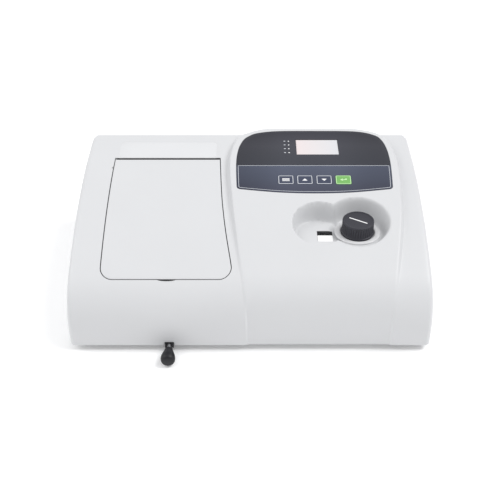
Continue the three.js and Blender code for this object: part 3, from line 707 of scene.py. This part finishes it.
def surface(name, color, roughness, metallic=0.0, grain=900.0, bump=0.15, depth=0.0001, vary=0.05,
            stretch=(1, 1, 1), coat=0.0, specular=0.5):
    """A finished surface: cloudy colour, uneven gloss and a fine grain in relief."""
    material, nodes, links, shader = new_material(name)
    shader.inputs["Metallic"].default_value = metallic
    shader.inputs["Specular IOR Level"].default_value = specular
    shader.inputs["Coat Weight"].default_value = coat
    shader.inputs["Coat Roughness"].default_value = 0.12
    cloud = noise(nodes, links, position(nodes, links), 14.0, 4.0)
    tone = ramp(nodes, links, cloud, [(0.3, scaled(color, 1 - vary)), (0.7, scaled(color, 1 + vary * 0.5))])
    links.new(tone, shader.inputs["Base Color"])
    fine = noise(nodes, links, position(nodes, links, stretch), grain, 2.0)
    gloss = spread_value(nodes, links, fine, roughness * 0.85, roughness * 1.15)
    links.new(gloss, shader.inputs["Roughness"])
    bumped(nodes, links, shader, fine, bump, depth)
    return material


def overlay_print(name):
    """Printed control film: charcoal above the divider, a blue-grey band with a soft glow below."""
    material, nodes, links, shader = new_material(name)
    where, split = split_position(nodes, links)
    height = share_between(nodes, links, split.outputs["Y"], SHIFT_Y * MM, (OVERLAY_DEPTH + SHIFT_Y) * MM)
    divider = DIVIDER_Y / OVERLAY_DEPTH
    bands = ramp(nodes, links, height, [
        (0.0, (0.05, 0.053, 0.078)), (divider * 0.5, (0.07, 0.08, 0.115)),
        (divider - 0.004, (0.085, 0.098, 0.14)), (divider + 0.004, (0.045, 0.048, 0.06)),
        (0.7, (0.045, 0.046, 0.058)), (1.0, (0.022, 0.022, 0.032))])
    across = share_between(nodes, links, split.outputs["X"], -20 * MM, 180 * MM)
    glow = ramp(nodes, links, across, [
        (0.0, (0.62, 0.62, 0.64)), (0.3, (1.0, 1.0, 1.0)), (0.65, (1.0, 1.0, 1.0)), (1.0, (0.7, 0.7, 0.72))])
    soft = noise(nodes, links, where, 9.0, 1.0)
    cloudy = ramp(nodes, links, soft, [(0.3, (0.86, 0.86, 0.88)), (0.7, (1.1, 1.1, 1.1))])
    tone = multiplied(nodes, links, multiplied(nodes, links, bands, cloudy), glow)
    links.new(tone, shader.inputs["Base Color"])
    shader.inputs["Specular IOR Level"].default_value = 0.3
    fine = noise(nodes, links, where, 2600.0, 2.0)
    links.new(spread_value(nodes, links, fine, 0.34, 0.46), shader.inputs["Roughness"])
    bumped(nodes, links, shader, fine, 0.08, 0.00005)
    return material


def display_print(name):
    """The display's pale face: warm pink at the left, cooler towards the right."""
    material, nodes, links, shader = new_material(name)
    where, split = split_position(nodes, links)
    across = share_between(nodes, links, split.outputs["X"], DISPLAY[0] * MM, DISPLAY[1] * MM)
    tone = ramp(nodes, links, across, [
        (0.0, (0.72, 0.64, 0.64)), (0.45, (0.68, 0.645, 0.65)), (1.0, (0.63, 0.635, 0.66))])
    links.new(tone, shader.inputs["Base Color"])
    fine = noise(nodes, links, where, 1500.0, 2.0)
    links.new(spread_value(nodes, links, fine, 0.14, 0.2), shader.inputs["Roughness"])
    bumped(nodes, links, shader, fine, 0.03, 0.00005)
    return material


def clear(name, color, roughness=0.05):
    """Clear plastic or glass, with slightly uneven gloss."""
    material, nodes, links, shader = new_material(name)
    where = position(nodes, links)
    fine = noise(nodes, links, where, 400.0, 2.0)
    tone = ramp(nodes, links, fine, [(0.3, scaled(color, 0.98)), (0.7, color)])
    links.new(tone, shader.inputs["Base Color"])
    links.new(spread_value(nodes, links, fine, roughness * 0.7, roughness * 1.4), shader.inputs["Roughness"])
    shader.inputs["Transmission Weight"].default_value = 1.0
    shader.inputs["IOR"].default_value = 1.47
    return material


LOOKS = {
    "housing_paint": dict(color=(0.615, 0.62, 0.63), roughness=0.42, grain=1400.0, bump=0.1,
                          depth=0.00005, vary=0.012, specular=0.4),
    "base_zinc": dict(color=(0.52, 0.53, 0.54), roughness=0.42, metallic=0.85, grain=60.0, bump=0.08,
                      vary=0.12),
    "rubber": dict(color=(0.022, 0.022, 0.024), roughness=0.8, grain=1800.0, bump=0.4, vary=0.2),
    "black_plastic": dict(color=(0.008, 0.008, 0.011), roughness=0.4, grain=1500.0, bump=0.3, vary=0.2,
                          specular=0.35),
    "knob_plastic": dict(color=(0.03, 0.03, 0.039), roughness=0.42, grain=2200.0, bump=0.25, vary=0.12,
                         specular=0.4),
    "silver_plastic": dict(color=(0.66, 0.662, 0.67), roughness=0.3, bump=0.04, vary=0.01, coat=0.15),
    "key_film": dict(color=(0.05, 0.059, 0.095), roughness=0.4, grain=2600.0, bump=0.1, vary=0.06,
                     specular=0.3),
    "key_green": dict(color=(0.17, 0.42, 0.11), roughness=0.4, grain=2600.0, bump=0.1, vary=0.06),
    "foam": dict(color=(0.018, 0.018, 0.018), roughness=0.95, bump=0.9, depth=0.0004, vary=0.3),
    "steel": dict(color=(0.62, 0.62, 0.64), roughness=0.28, metallic=1.0, grain=300.0, bump=0.08,
                  vary=0.06, stretch=(8, 1, 8)),
    "alloy": dict(color=(0.42, 0.425, 0.43), roughness=0.55, metallic=0.9, grain=500.0, bump=0.5,
                  depth=0.0003, vary=0.12),
    "black_anodised": dict(color=(0.022, 0.022, 0.025), roughness=0.42, metallic=0.6, grain=1200.0,
                           bump=0.2, vary=0.2),
    "mirror": dict(color=(0.93, 0.93, 0.94), roughness=0.03, metallic=1.0, grain=30.0, bump=0.0,
                   vary=0.01),
    "brass": dict(color=(0.62, 0.45, 0.17), roughness=0.3, metallic=1.0, grain=400.0, bump=0.1, vary=0.08),
    "circuit_board": dict(color=(0.03, 0.16, 0.07), roughness=0.35, grain=700.0, bump=0.2, vary=0.2,
                          coat=0.4),
    "white_plastic": dict(color=(0.9, 0.9, 0.89), roughness=0.4, grain=1200.0, bump=0.1, vary=0.01),
    "iron_core": dict(color=(0.11, 0.09, 0.075), roughness=0.6, metallic=0.4, grain=25.0, bump=0.6,
                      depth=0.0005, vary=0.2, stretch=(1, 1, 60)),
}
MATERIALS = {name: surface(name, **look) for name, look in LOOKS.items()}
MATERIALS["overlay_film"] = overlay_print("overlay_film")
MATERIALS["clear_plastic"] = clear("clear_plastic", (0.98, 0.98, 0.98))
MATERIALS["lamp_glass"] = clear("lamp_glass", (0.97, 0.97, 0.95))
PRINT = surface("pale_print", (0.62, 0.64, 0.68), 0.45, grain=2600.0, bump=0.05, vary=0.03)
WHITE_PRINT = surface("white_print", (0.88, 0.88, 0.88), 0.45, grain=2600.0, bump=0.05, vary=0.02)
GREEN_PRINT = surface("green_print", (0.5, 0.76, 0.4), 0.45, grain=2600.0, bump=0.05, vary=0.03)
LCD_FACE = display_print("display_face")
LABEL_WHITE = surface("label_white", (0.655, 0.66, 0.67), 0.3, grain=900.0, bump=0.05, vary=0.01)
THIN_CLEAR = surface("thin_clear", (0.01, 0.01, 0.012), 0.08, grain=400.0, bump=0.02, vary=0.02)
THIN_CLEAR.node_tree.nodes["Principled BSDF"].inputs["Alpha"].default_value = 0.5

SLOT_OF = {entry["node"]: entry["material_slot"] for entry in frame["record"]["subparts"]}
BODY_OF = {node: body for body, nodes in frame["record"]["behaviour"]["bodies"].items() for node in nodes}


REPLACED = set()


def finish_piece(obj, slot, body, material=None, replaces=()):
    """Gives a piece its material (the slot's, unless one is given) and body, and hides and notes the CAD
    nodes it stands for.
    """
    obj.data.materials.clear()
    obj.data.materials.append(material or MATERIALS[slot])
    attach(obj, body)
    if replaces:
        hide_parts(*replaces)
        REPLACED.update(replaces)
    return obj


# -------------------- pieces
def label_sink(x, y):
    """Depth of the shallow panel behind the lid, with soft edges."""
    if not (LABEL_X0 < x < LABEL_X1 and LABEL_Y0 < y < LABEL_REAR):
        return 0.0
    side = smooth(min(x - LABEL_X0, LABEL_X1 - x) / LABEL_SOFT)
    corner = math.hypot(max(LABEL_X0 + LABEL_CORNER - x, x - LABEL_X1 + LABEL_CORNER, 0.0),
                        max(y - (LABEL_REAR - LABEL_CORNER), 0.0))
    return LABEL_DEPTH * side * smooth((LABEL_CORNER - corner) / LABEL_SOFT)


def finger_scoop():
    """An ellipsoid, to be cut out of the housing."""
    profile = [(math.sin(math.pi * i / 16), -math.cos(math.pi * i / 16)) for i in range(17)]
    scoop = turned("scoop", profile, 40, (0, 0, 0))
    (cx, cy, cz), (a, b, c) = SCOOP_AT, SCOOP_HALF
    for vertex in scoop.data.vertices:
        x, y, z = (v / MM for v in vertex.co)
        vertex.co = place([(cx + x * a, cy + (y - SHIFT_Y) * b, cz + z * c)])[0]
    return scoop


def key_hole(x):
    return rounded_rect(x - FIT, x + KEY_W + FIT, KEY_Y0 - FIT, KEY_Y1 + FIT, 2)


def display_hole():
    x0, x1, y0, y1 = DISPLAY
    return block("display_hole", x0 - FIT, x1 + FIT, y0 - FIT, y1 + FIT, 100, ABOVE)


def housing():
    shell = shell_solid("housing_shell", fine=True)
    cut(shell, shell_solid("housing_inside", fine=False, inset=WALL, floor_z=BOTTOM_Z - 5))
    parts = [
        plate("lid_hole", resample(lid_loop(LID_GAP, LID_REAR + LID_REAR_GAP), 3), level(ABOVE),
              level(60.0), rings=2),
        finger_scoop(),
        plate("overlay_pocket", overlay_loop(-FIT), level(ABOVE), from_top(-1.0), rings=12),
        block("window", *WINDOW, 90, 101),
        block("rod_notch", ROD_X - ROD_NOTCH, ROD_X + ROD_NOTCH, -150, -130, 0, 13),
        turned("shaft_hole", [(0, 90), (SHAFT_HOLE_R, 90), (SHAFT_HOLE_R, 100), (0, 100)], 32,
               (KNOB_X, KNOB_Y, 0)),
    ]
    panel_low, panel_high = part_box("rear_panel")
    half, low_z, high_z = panel_high.x / MM, panel_low.z / MM, panel_high.z / MM
    parts.append(block("rear_hole", -half - FIT, half + FIT, 134, 150, low_z - FIT, high_z + FIT))
    cut(shell, *parts)
    deeper = [display_hole()]
    for x in KEY_XS:
        deeper.append(plate("well", resample(key_hole(x), 2), level(ABOVE), from_top(-KEY_WELL), rings=3))
    cut(shell, *deeper)
    finish_piece(soften(shell, 38), "housing_paint", "housing", replaces=("upper_housing",))


def plate_ring(name, outer, inner, top_drop, bottom_drop):
    """An open strip between two plan lines that follows the surface at a depth."""
    n = len(outer)
    points = []
    for line, drop in ((outer, bottom_drop), (outer, top_drop), (inner, top_drop), (inner, bottom_drop)):
        points += [(x, y, top_height(x, y) - drop) for x, y in line]
    faces = [(j * n + i, j * n + i + 1, (j + 1) % 4 * n + i + 1, (j + 1) % 4 * n + i)
             for j in range(4) for i in range(n - 1)]
    faces += [(0, n, 2 * n, 3 * n), (n - 1, 4 * n - 1, 3 * n - 1, 2 * n - 1)]
    return outward(make(name, points, faces))


def lid():
    """The lid's cover with its four hinge ears."""
    loop = resample(lid_loop(0.0, LID_REAR), 3)
    skin = plate("lid_skin", loop, top_height, from_top(-LID_THICK), edge=0.7, rings=26,
                 edge_steps=3)
    ears = []
    for x in HINGE_XS:
        for side in (-1, 1):
            centre = x + side * EAR_OFFSET
            neck = [(HINGE_Y + dy, HINGE_Z + EAR_RISE) for dy in (KNUCKLE_R, -KNUCKLE_R)]
            profile = arc_points(HINGE_Y, HINGE_Z, KNUCKLE_R, 180, 360, 12) + neck
            points = [(centre + dx, y, z) for dx in (-EAR_HALF, EAR_HALF) for y, z in profile]
            n = len(profile)
            faces = strips(n, 2) + [tuple(range(n)), tuple(reversed(range(n, 2 * n)))]
            ears.append(outward(make("ear", points, faces)))
    lid_piece = join("lid_cover", [skin, *ears])
    finish_piece(soften(lid_piece), "housing_paint", "lid", replaces=("sample_lid",))


def lid_gasket():
    """A dark rubber bead round the lid, set high in the gap: a seal that also gives the painted shade of the
    dark gap line. It stops short of the hinge, where it would cut into the housing.
    """
    bead = [point for point in resample(lid_loop(0.8, LID_REAR), 3) if point[1] < HINGE_Y - GASKET_CLEAR]
    start = bead.index(min(bead, key=lambda p: (p[0] > -100, -p[1])))
    bead = bead[start:] + bead[:start]
    inner = inset_loop(bead, GASKET_WIDTH)[1:-1]
    gasket = plate_ring("lid_gasket", bead[1:-1], inner, GASKET_TOP, GASKET_BOTTOM)
    finish_piece(soften(gasket), "rubber", "lid")


def rear_seal():
    """A dark rubber strip on the rear wall of the gap behind the lid: painted shade, standing in for the
    shadow in that gap.
    """
    wall = LID_REAR + LID_REAR_GAP
    across = [(LID_LEFT + 2 + (SHADE_STRIP_RIGHT - LID_LEFT) * i / 40, wall - 0.1) for i in range(41)]
    strip = plate_ring("rear_seal", across, [(x, y - SHADE_STRIP_WIDTH) for x, y in across], 0.5, 4.0)
    finish_piece(soften(strip), "rubber", "housing")


def blank_label():
    """A plain plate in the recess behind the lid."""
    loop = rounded_rect(LABEL_X0 + 2.5, LABEL_X1 - 2.5, LID_REAR + LID_REAR_GAP + 0.6, LABEL_REAR - 2, 7)
    plaque = plate("blank_label", resample(loop, 3), from_top(-0.25), from_top(-0.58),
                   edge=0.2, rings=3)
    finish_piece(soften(plaque), "housing_paint", "housing", LABEL_WHITE)


def control_panel():
    overlay = plate("control_film", overlay_loop(0.0), from_top(0.2), from_top(-0.7), edge=0.2, rings=14)
    holes = [display_hole()]
    for x in KEY_XS:
        holes.append(plate("hole", key_hole(x), level(ABOVE), level(100.0), rings=1))
    cut(overlay, *holes)
    finish_piece(soften(overlay, 30), "overlay_film", "housing", replaces=("panel_overlay",))

    line_top = from_top(LINE_RISE)
    # frame line round the lower band: along the divider and just inside the film's edge
    lower = [(x, y) for x, y in overlay_loop(2.2) if y < DIVIDER_Y]
    start = lower.index(min(lower, key=lambda p: (p[0] > 0, -p[1])))
    lower = lower[start:] + lower[:start]
    lower = [(lower[0][0], DIVIDER_Y)] + lower + [(lower[-1][0], DIVIDER_Y)]
    finish_piece(band("band_frame", resample(lower, 4), 0.5, line_top, 0.3), "overlay_film", "housing", PRINT)

    face = plate("display_face", rounded_rect(*DISPLAY, 0.8), from_top(-0.4), from_top(-2.2),
                 edge=0.2, rings=6)
    finish_piece(face, "clear_plastic", "housing", LCD_FACE, replaces=("display_window",))

    for row in range(4):
        y = 80.0 + row * 9.3
        lamp = plate(f"indicator_lamp_{row + 1}", arc_points(50, y, 0.95, 0, 345, 23), line_top,
                     top_height, edge=0.1, rings=2)
        finish_piece(lamp, "overlay_film", "housing", WHITE_PRINT)
        mark = plate(f"indicator_mark_{row + 1}", rounded_rect(43.7, 46.0, y - 0.7, y + 0.7, 0.3, 2),
                     line_top, top_height, rings=2)
        finish_piece(mark, "overlay_film", "housing", PRINT)


def symbol_outlines(name, cx, cy):
    """Outlines of a key's plain symbol: an arrow up or down, three bars, or a return arrow."""
    if name == "key_up":
        return [[(cx - 3.2, cy - 1.6), (cx + 3.2, cy - 1.6), (cx, cy + 2.0)]]
    if name == "key_down":
        return [[(cx, cy - 2.0), (cx + 3.2, cy + 1.6), (cx - 3.2, cy + 1.6)]]
    if name == "key_mode":
        return [rounded_rect(cx - 4.6, cx + 4.6, cy + dy - 0.5, cy + dy + 0.5, 0.3, 2)
                for dy in (-1.9, 0.0, 1.9)]
    return [[(cx - 4.2, cy), (cx - 1.0, cy - 2.2), (cx - 1.0, cy - 0.6), (cx + 4.2, cy - 0.6),
             (cx + 4.2, cy + 2.2), (cx + 3.0, cy + 2.2), (cx + 3.0, cy + 0.6), (cx - 1.0, cy + 0.6),
             (cx - 1.0, cy + 2.2)]]


def keys():
    for x, name in zip(KEY_XS, ("key_mode", "key_up", "key_down", "key_enter")):
        body = BODY_OF[name]
        green = name == "key_enter"
        slot = SLOT_OF[name]
        loop = resample(rounded_rect(x, x + KEY_W, KEY_Y0, KEY_Y1, 1.8), 1.5)
        cap = plate(f"{name}_cap", loop, from_top(0.42), from_top(-1.5), edge=0.25, rings=5)
        finish_piece(soften(cap), slot, body, replaces=(name,))
        top = from_top(0.48)
        ink = GREEN_PRINT if green else PRINT
        finish_piece(band(f"{name}_outline", inset_loop(loop, 0.35), 0.8, top, 0.15), slot, body, ink)
        cx, cy = x + KEY_W / 2, (KEY_Y0 + KEY_Y1) / 2
        for i, outline in enumerate(symbol_outlines(name, cx, cy)):
            mark = plate(f"{name}_symbol_{i + 1}", resample(outline, 0.8), top, from_top(0.3), rings=2)
            finish_piece(mark, slot, body, ink if green else WHITE_PRINT)


def knob():
    low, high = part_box("wavelength_knob")
    base, top = low.z / MM, high.z / MM
    per_rib = len(RIB_DEPTHS)

    def ripple(r, h, i):
        on_side = base + 3.4 < h < top - 1.0 and r > KNOB_R - 0.4
        return RIB_DEPTHS[i % per_rib] if on_side else 0.0

    profile = ([(0, base)] + [(KNOB_R + r, base + z) for r, z in KNOB_FOOT] + [(KNOB_R, (base + top) / 2)]
               + [(KNOB_R + r, top + z) for r, z in KNOB_HEAD] + [(9, top - 0.75), (0, top - 0.75)])
    body = turned("knob_body", profile, RIBS * per_rib, (KNOB_X, KNOB_Y, 0), ripple=ripple)
    finish_piece(soften(body, 50), "knob_plastic", "knob", replaces=("wavelength_knob", "knob_cap"))
    c, s = math.cos(INDEX_TILT), math.sin(INDEX_TILT)
    placed = [(KNOB_X + x * c - y * s, KNOB_Y + x * s + y * c)
              for x, y in rounded_rect(-11.8, 11.8, -0.75, 0.75, 0.7, 3)]
    mark = plate("knob_index_line", resample(placed, 1), level(top - 0.6), level(top - 0.8), rings=2)
    finish_piece(mark, "knob_plastic", "knob", WHITE_PRINT)


def knob_collar():
    """The ring round the knob: its outer edge follows the oval recess, its hole is round."""
    ring_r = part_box("knob_collar")[1].x / MM - KNOB_X
    loop = [(math.cos(a), math.sin(a)) for a in (2 * math.pi * i / 128 for i in range(128))]
    section = [(COLLAR_HOLE_R, 97.9), (ring_r, 97.9), (ring_r, 98.7), (ring_r - 0.4, 99.25),
               (ring_r - 1.2, 99.5), (22.2, 99.75), (21.0, 99.6), (COLLAR_HOLE_R, 99.2)]
    points = []
    for r, z in section:
        inward = max(0.0, min(1.0, (ring_r - r) / (ring_r - COLLAR_HOLE_R)))
        squash = DISH_SQUASH + (1 - DISH_SQUASH) * inward
        points += [(KNOB_X + r * c, KNOB_Y + r * s * squash, z) for c, s in loop]
    ring = outward(make("collar_ring", points, strips(128, len(section), closed_rows=True)))
    finish_piece(soften(ring), "silver_plastic", "housing", replaces=("knob_collar",))


def digit(char, size):
    """Outline of one numeral as a small raised mesh centred on the origin, in millimetres."""
    curve = bpy.data.curves.new("digit", "FONT")
    curve.body = char
    curve.size = size
    curve.extrude = 0.12
    curve.resolution_u = 3
    curve.align_x = "CENTER"
    curve.align_y = "CENTER"
    text = linked("digit", curve)
    bpy.context.view_layer.update()
    mesh = bpy.data.meshes.new_from_object(text.evaluated_get(bpy.context.evaluated_depsgraph_get()))
    bpy.data.objects.remove(text, do_unlink=True)
    return mesh


def wavelength_window():
    x0, x1, y0, y1 = (WINDOW[0] + FIT, WINDOW[1] - FIT, WINDOW[2] + FIT, WINDOW[3] - FIT)
    mask = plate("window_mask", resample(rounded_rect(x0, x1, y0, MASK_REAR, 0.4, 3), 2),
                 level(97.4), level(96.0), edge=0.15, rings=3)
    finish_piece(mask, "clear_plastic", "housing", MATERIALS["white_plastic"], replaces=("window_lens",))
    strip = plate("window_strip", resample(rounded_rect(x0, x1, MASK_REAR + 0.05, y1, 0.4, 3), 2),
                  level(97.3), level(96.2), edge=0.15, rings=3)
    finish_piece(strip, "clear_plastic", "housing", THIN_CLEAR)


def number_wheels():
    """Three wheels on the drum's axle, with generic digits that stand a little proud."""
    parts = []
    for a, b, _ in WHEELS:
        profile = [(0, a), (DRUM_R - 0.4, a), (DRUM_R, a + 0.4), (DRUM_R, b - 0.4), (DRUM_R - 0.4, b), (0, b)]
        wheel = turned("wheel", profile, 60, (0, 0, 0), axis="y")
        for vertex in wheel.data.vertices:
            x, y, z = (v / MM for v in vertex.co)
            vertex.co = place([(y - SHIFT_Y, KNOB_Y + x, DRUM_Z + z)])[0]
        parts.append(wheel)
    drum = outward(join("number_wheels", parts))
    finish_piece(soften(drum), "black_plastic", "drum", replaces=("scale_drum",))

    bm = bmesh.new()
    meshes = [digit(str(n), 3.4) for n in range(10)]
    lift = Matrix.Translation((0, 0, DRUM_R))
    for a, b, start in WHEELS:
        centre = Matrix.Translation(place([((a + b) / 2, KNOB_Y, DRUM_Z)])[0]) @ Matrix.Scale(MM, 4)
        for n in range(10):
            turn = Matrix.Rotation(math.radians(36) * (n - start), 4, "X")
            before = len(bm.verts)
            bm.from_mesh(meshes[n])
            bm.verts.ensure_lookup_table()
            bmesh.ops.transform(bm, matrix=centre @ turn @ lift, verts=bm.verts[before:])
    bmesh.ops.remove_doubles(bm, verts=bm.verts, dist=1e-7)
    finish_piece(from_bmesh("wheel_numerals", bm), "black_plastic", "drum", WHITE_PRINT)


def pull_rod():
    rod_low, rod_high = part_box("pull_rod")
    x = (rod_low.x + rod_high.x) / 2 / MM
    z = (rod_low.z + rod_high.z) / 2 / MM
    y0, y1 = rod_low.y / MM - SHIFT_Y, rod_high.y / MM - SHIFT_Y
    r = (rod_high.x - rod_low.x) / 2 / MM
    profile = [(0, y0), (r - 0.3, y0), (r, y0 + 0.3), (r, y1 - 0.3), (r - 0.3, y1), (0, y1)]
    rod = turned("rod_shaft", profile, 40, (x, 0, z), axis="y")
    finish_piece(soften(rod), "steel", "carriage", replaces=("pull_rod",))
    profile = [HANDLE[0]]
    for (r0, h0), (r1, h1) in zip(HANDLE[1:-2], HANDLE[2:-1]):
        profile += [(r0 + (r1 - r0) * k / 3, h0 + (h1 - h0) * k / 3) for k in range(3)]
    profile += HANDLE[-2:]

    def ripple(radius, h, i):
        """Crossed spiral grooves."""
        turn = KNURLS * (2 * math.pi * i / HANDLE_SIDES)
        cross = abs(math.cos(turn + KNURL_TWIST * h)) * abs(math.cos(turn - KNURL_TWIST * h))
        return KNURL_DEPTH * (1 - cross) if radius > KNURL_MIN_R else 0.0

    grip = turned("rod_grip", profile, HANDLE_SIDES, (x, 0, z), axis="y", ripple=ripple)
    finish_piece(soften(grip, 50), "black_plastic", "carriage", replaces=("pull_rod_handle",))


def feet():
    for node in ("foot_front_left", "foot_front_right", "foot_rear_left", "foot_rear_right"):
        low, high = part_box(node)
        x, y = (low.x + high.x) / 2 / MM, (low.y + high.y) / 2 / MM - SHIFT_Y
        top = high.z / MM
        profile = [(0, 0.6), (5, 0.6), (5.6, 0), (9.2, 0), (10, 0.5), (10.4, 1.4), (11.3, top - 1.2),
                   (11.4, top - 0.4), (11.1, top), (0, top)]
        foot = turned(f"{node}_pad", profile, 48, (x, y, 0))
        finish_piece(soften(foot), "rubber", "housing", replaces=(node,))


def refined_nodes():
    """Every other CAD node: a copy with small rounded edges stands for it."""
    for node, slot in SLOT_OF.items():
        if node in REPLACED:
            continue
        source = frame["nodes"][node]
        copy = source.copy()
        copy.data = source.data.copy()
        copy.name = f"{node}_finish"
        copy.parent = None
        copy.matrix_world = Matrix.Identity(4)
        bpy.context.scene.collection.objects.link(copy)
        bm = bmesh.new()
        bm.from_mesh(copy.data)
        bmesh.ops.remove_doubles(bm, verts=bm.verts, dist=1e-6)
        bmesh.ops.dissolve_limit(bm, angle_limit=math.radians(0.5), verts=bm.verts, edges=bm.edges)
        bm.to_mesh(copy.data)
        bm.free()
        low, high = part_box(node)
        thinnest = min(high - low)
        bevel = copy.modifiers.new("edges", "BEVEL")
        bevel.width = min(0.0004, thinnest * 0.2)
        bevel.segments = 2
        bevel.limit_method = "ANGLE"
        bevel.angle_limit = math.radians(40)
        apply_modifiers(copy)
        soften(copy, 35)
        finish_piece(copy, slot, BODY_OF[node], replaces=(node,))


# -------------------- stage
def stage():
    mesh = bpy.data.meshes.new("floor")
    a = FLOOR_SIZE
    mesh.from_pydata([(-a, -a, 0), (a, -a, 0), (a, a, 0), (-a, a, 0)], [], [(0, 1, 2, 3)])
    floor = linked("floor", mesh)
    floor.data.materials.append(surface("floor_white", (0.95, 0.95, 0.95), 0.9, grain=40.0, bump=0.0,
                                        vary=0.0, specular=0.0))
    shine = floor.data.materials[0].node_tree.nodes["Principled BSDF"]
    shine.inputs["Emission Color"].default_value = (1, 1, 1, 1)
    shine.inputs["Emission Strength"].default_value = 0.12

    world = bpy.data.worlds.new("studio")
    bpy.context.scene.world = world
    world.use_nodes = True
    background = world.node_tree.nodes["Background"]
    background.inputs["Color"].default_value = (0.98, 0.985, 1.0, 1)
    background.inputs["Strength"].default_value = 0.66

    def sun(name, direction, strength, angle):
        data = bpy.data.lights.new(name, "SUN")
        data.energy = strength
        data.angle = math.radians(angle)
        linked(name, data).rotation_euler = Vector(direction).to_track_quat("Z", "Y").to_euler()

    sun("key", (0.75, 0.06, 1.0), 1.75, 30)
    sun("left_fill", (-0.85, 0.05, 0.75), 1.1, 50)


def camera():
    data = bpy.data.cameras.new("camera")
    data.lens = LENS
    data.sensor_width = 36.0
    obj = linked("camera", data)
    obj.location = (0.0, (VIEW_Y + SHIFT_Y) * MM, VIEW_Z * MM)
    obj.rotation_euler = (math.radians(90 - VIEW_TILT), 0, 0)
    bpy.context.scene.camera = obj
    bpy.context.scene.view_settings.view_transform = "Standard"


camera()
stage()
housing()
lid()
lid_gasket()
rear_seal()
blank_label()
control_panel()
keys()
knob()
knob_collar()
wavelength_window()
number_wheels()
pull_rod()
feet()
refined_nodes()
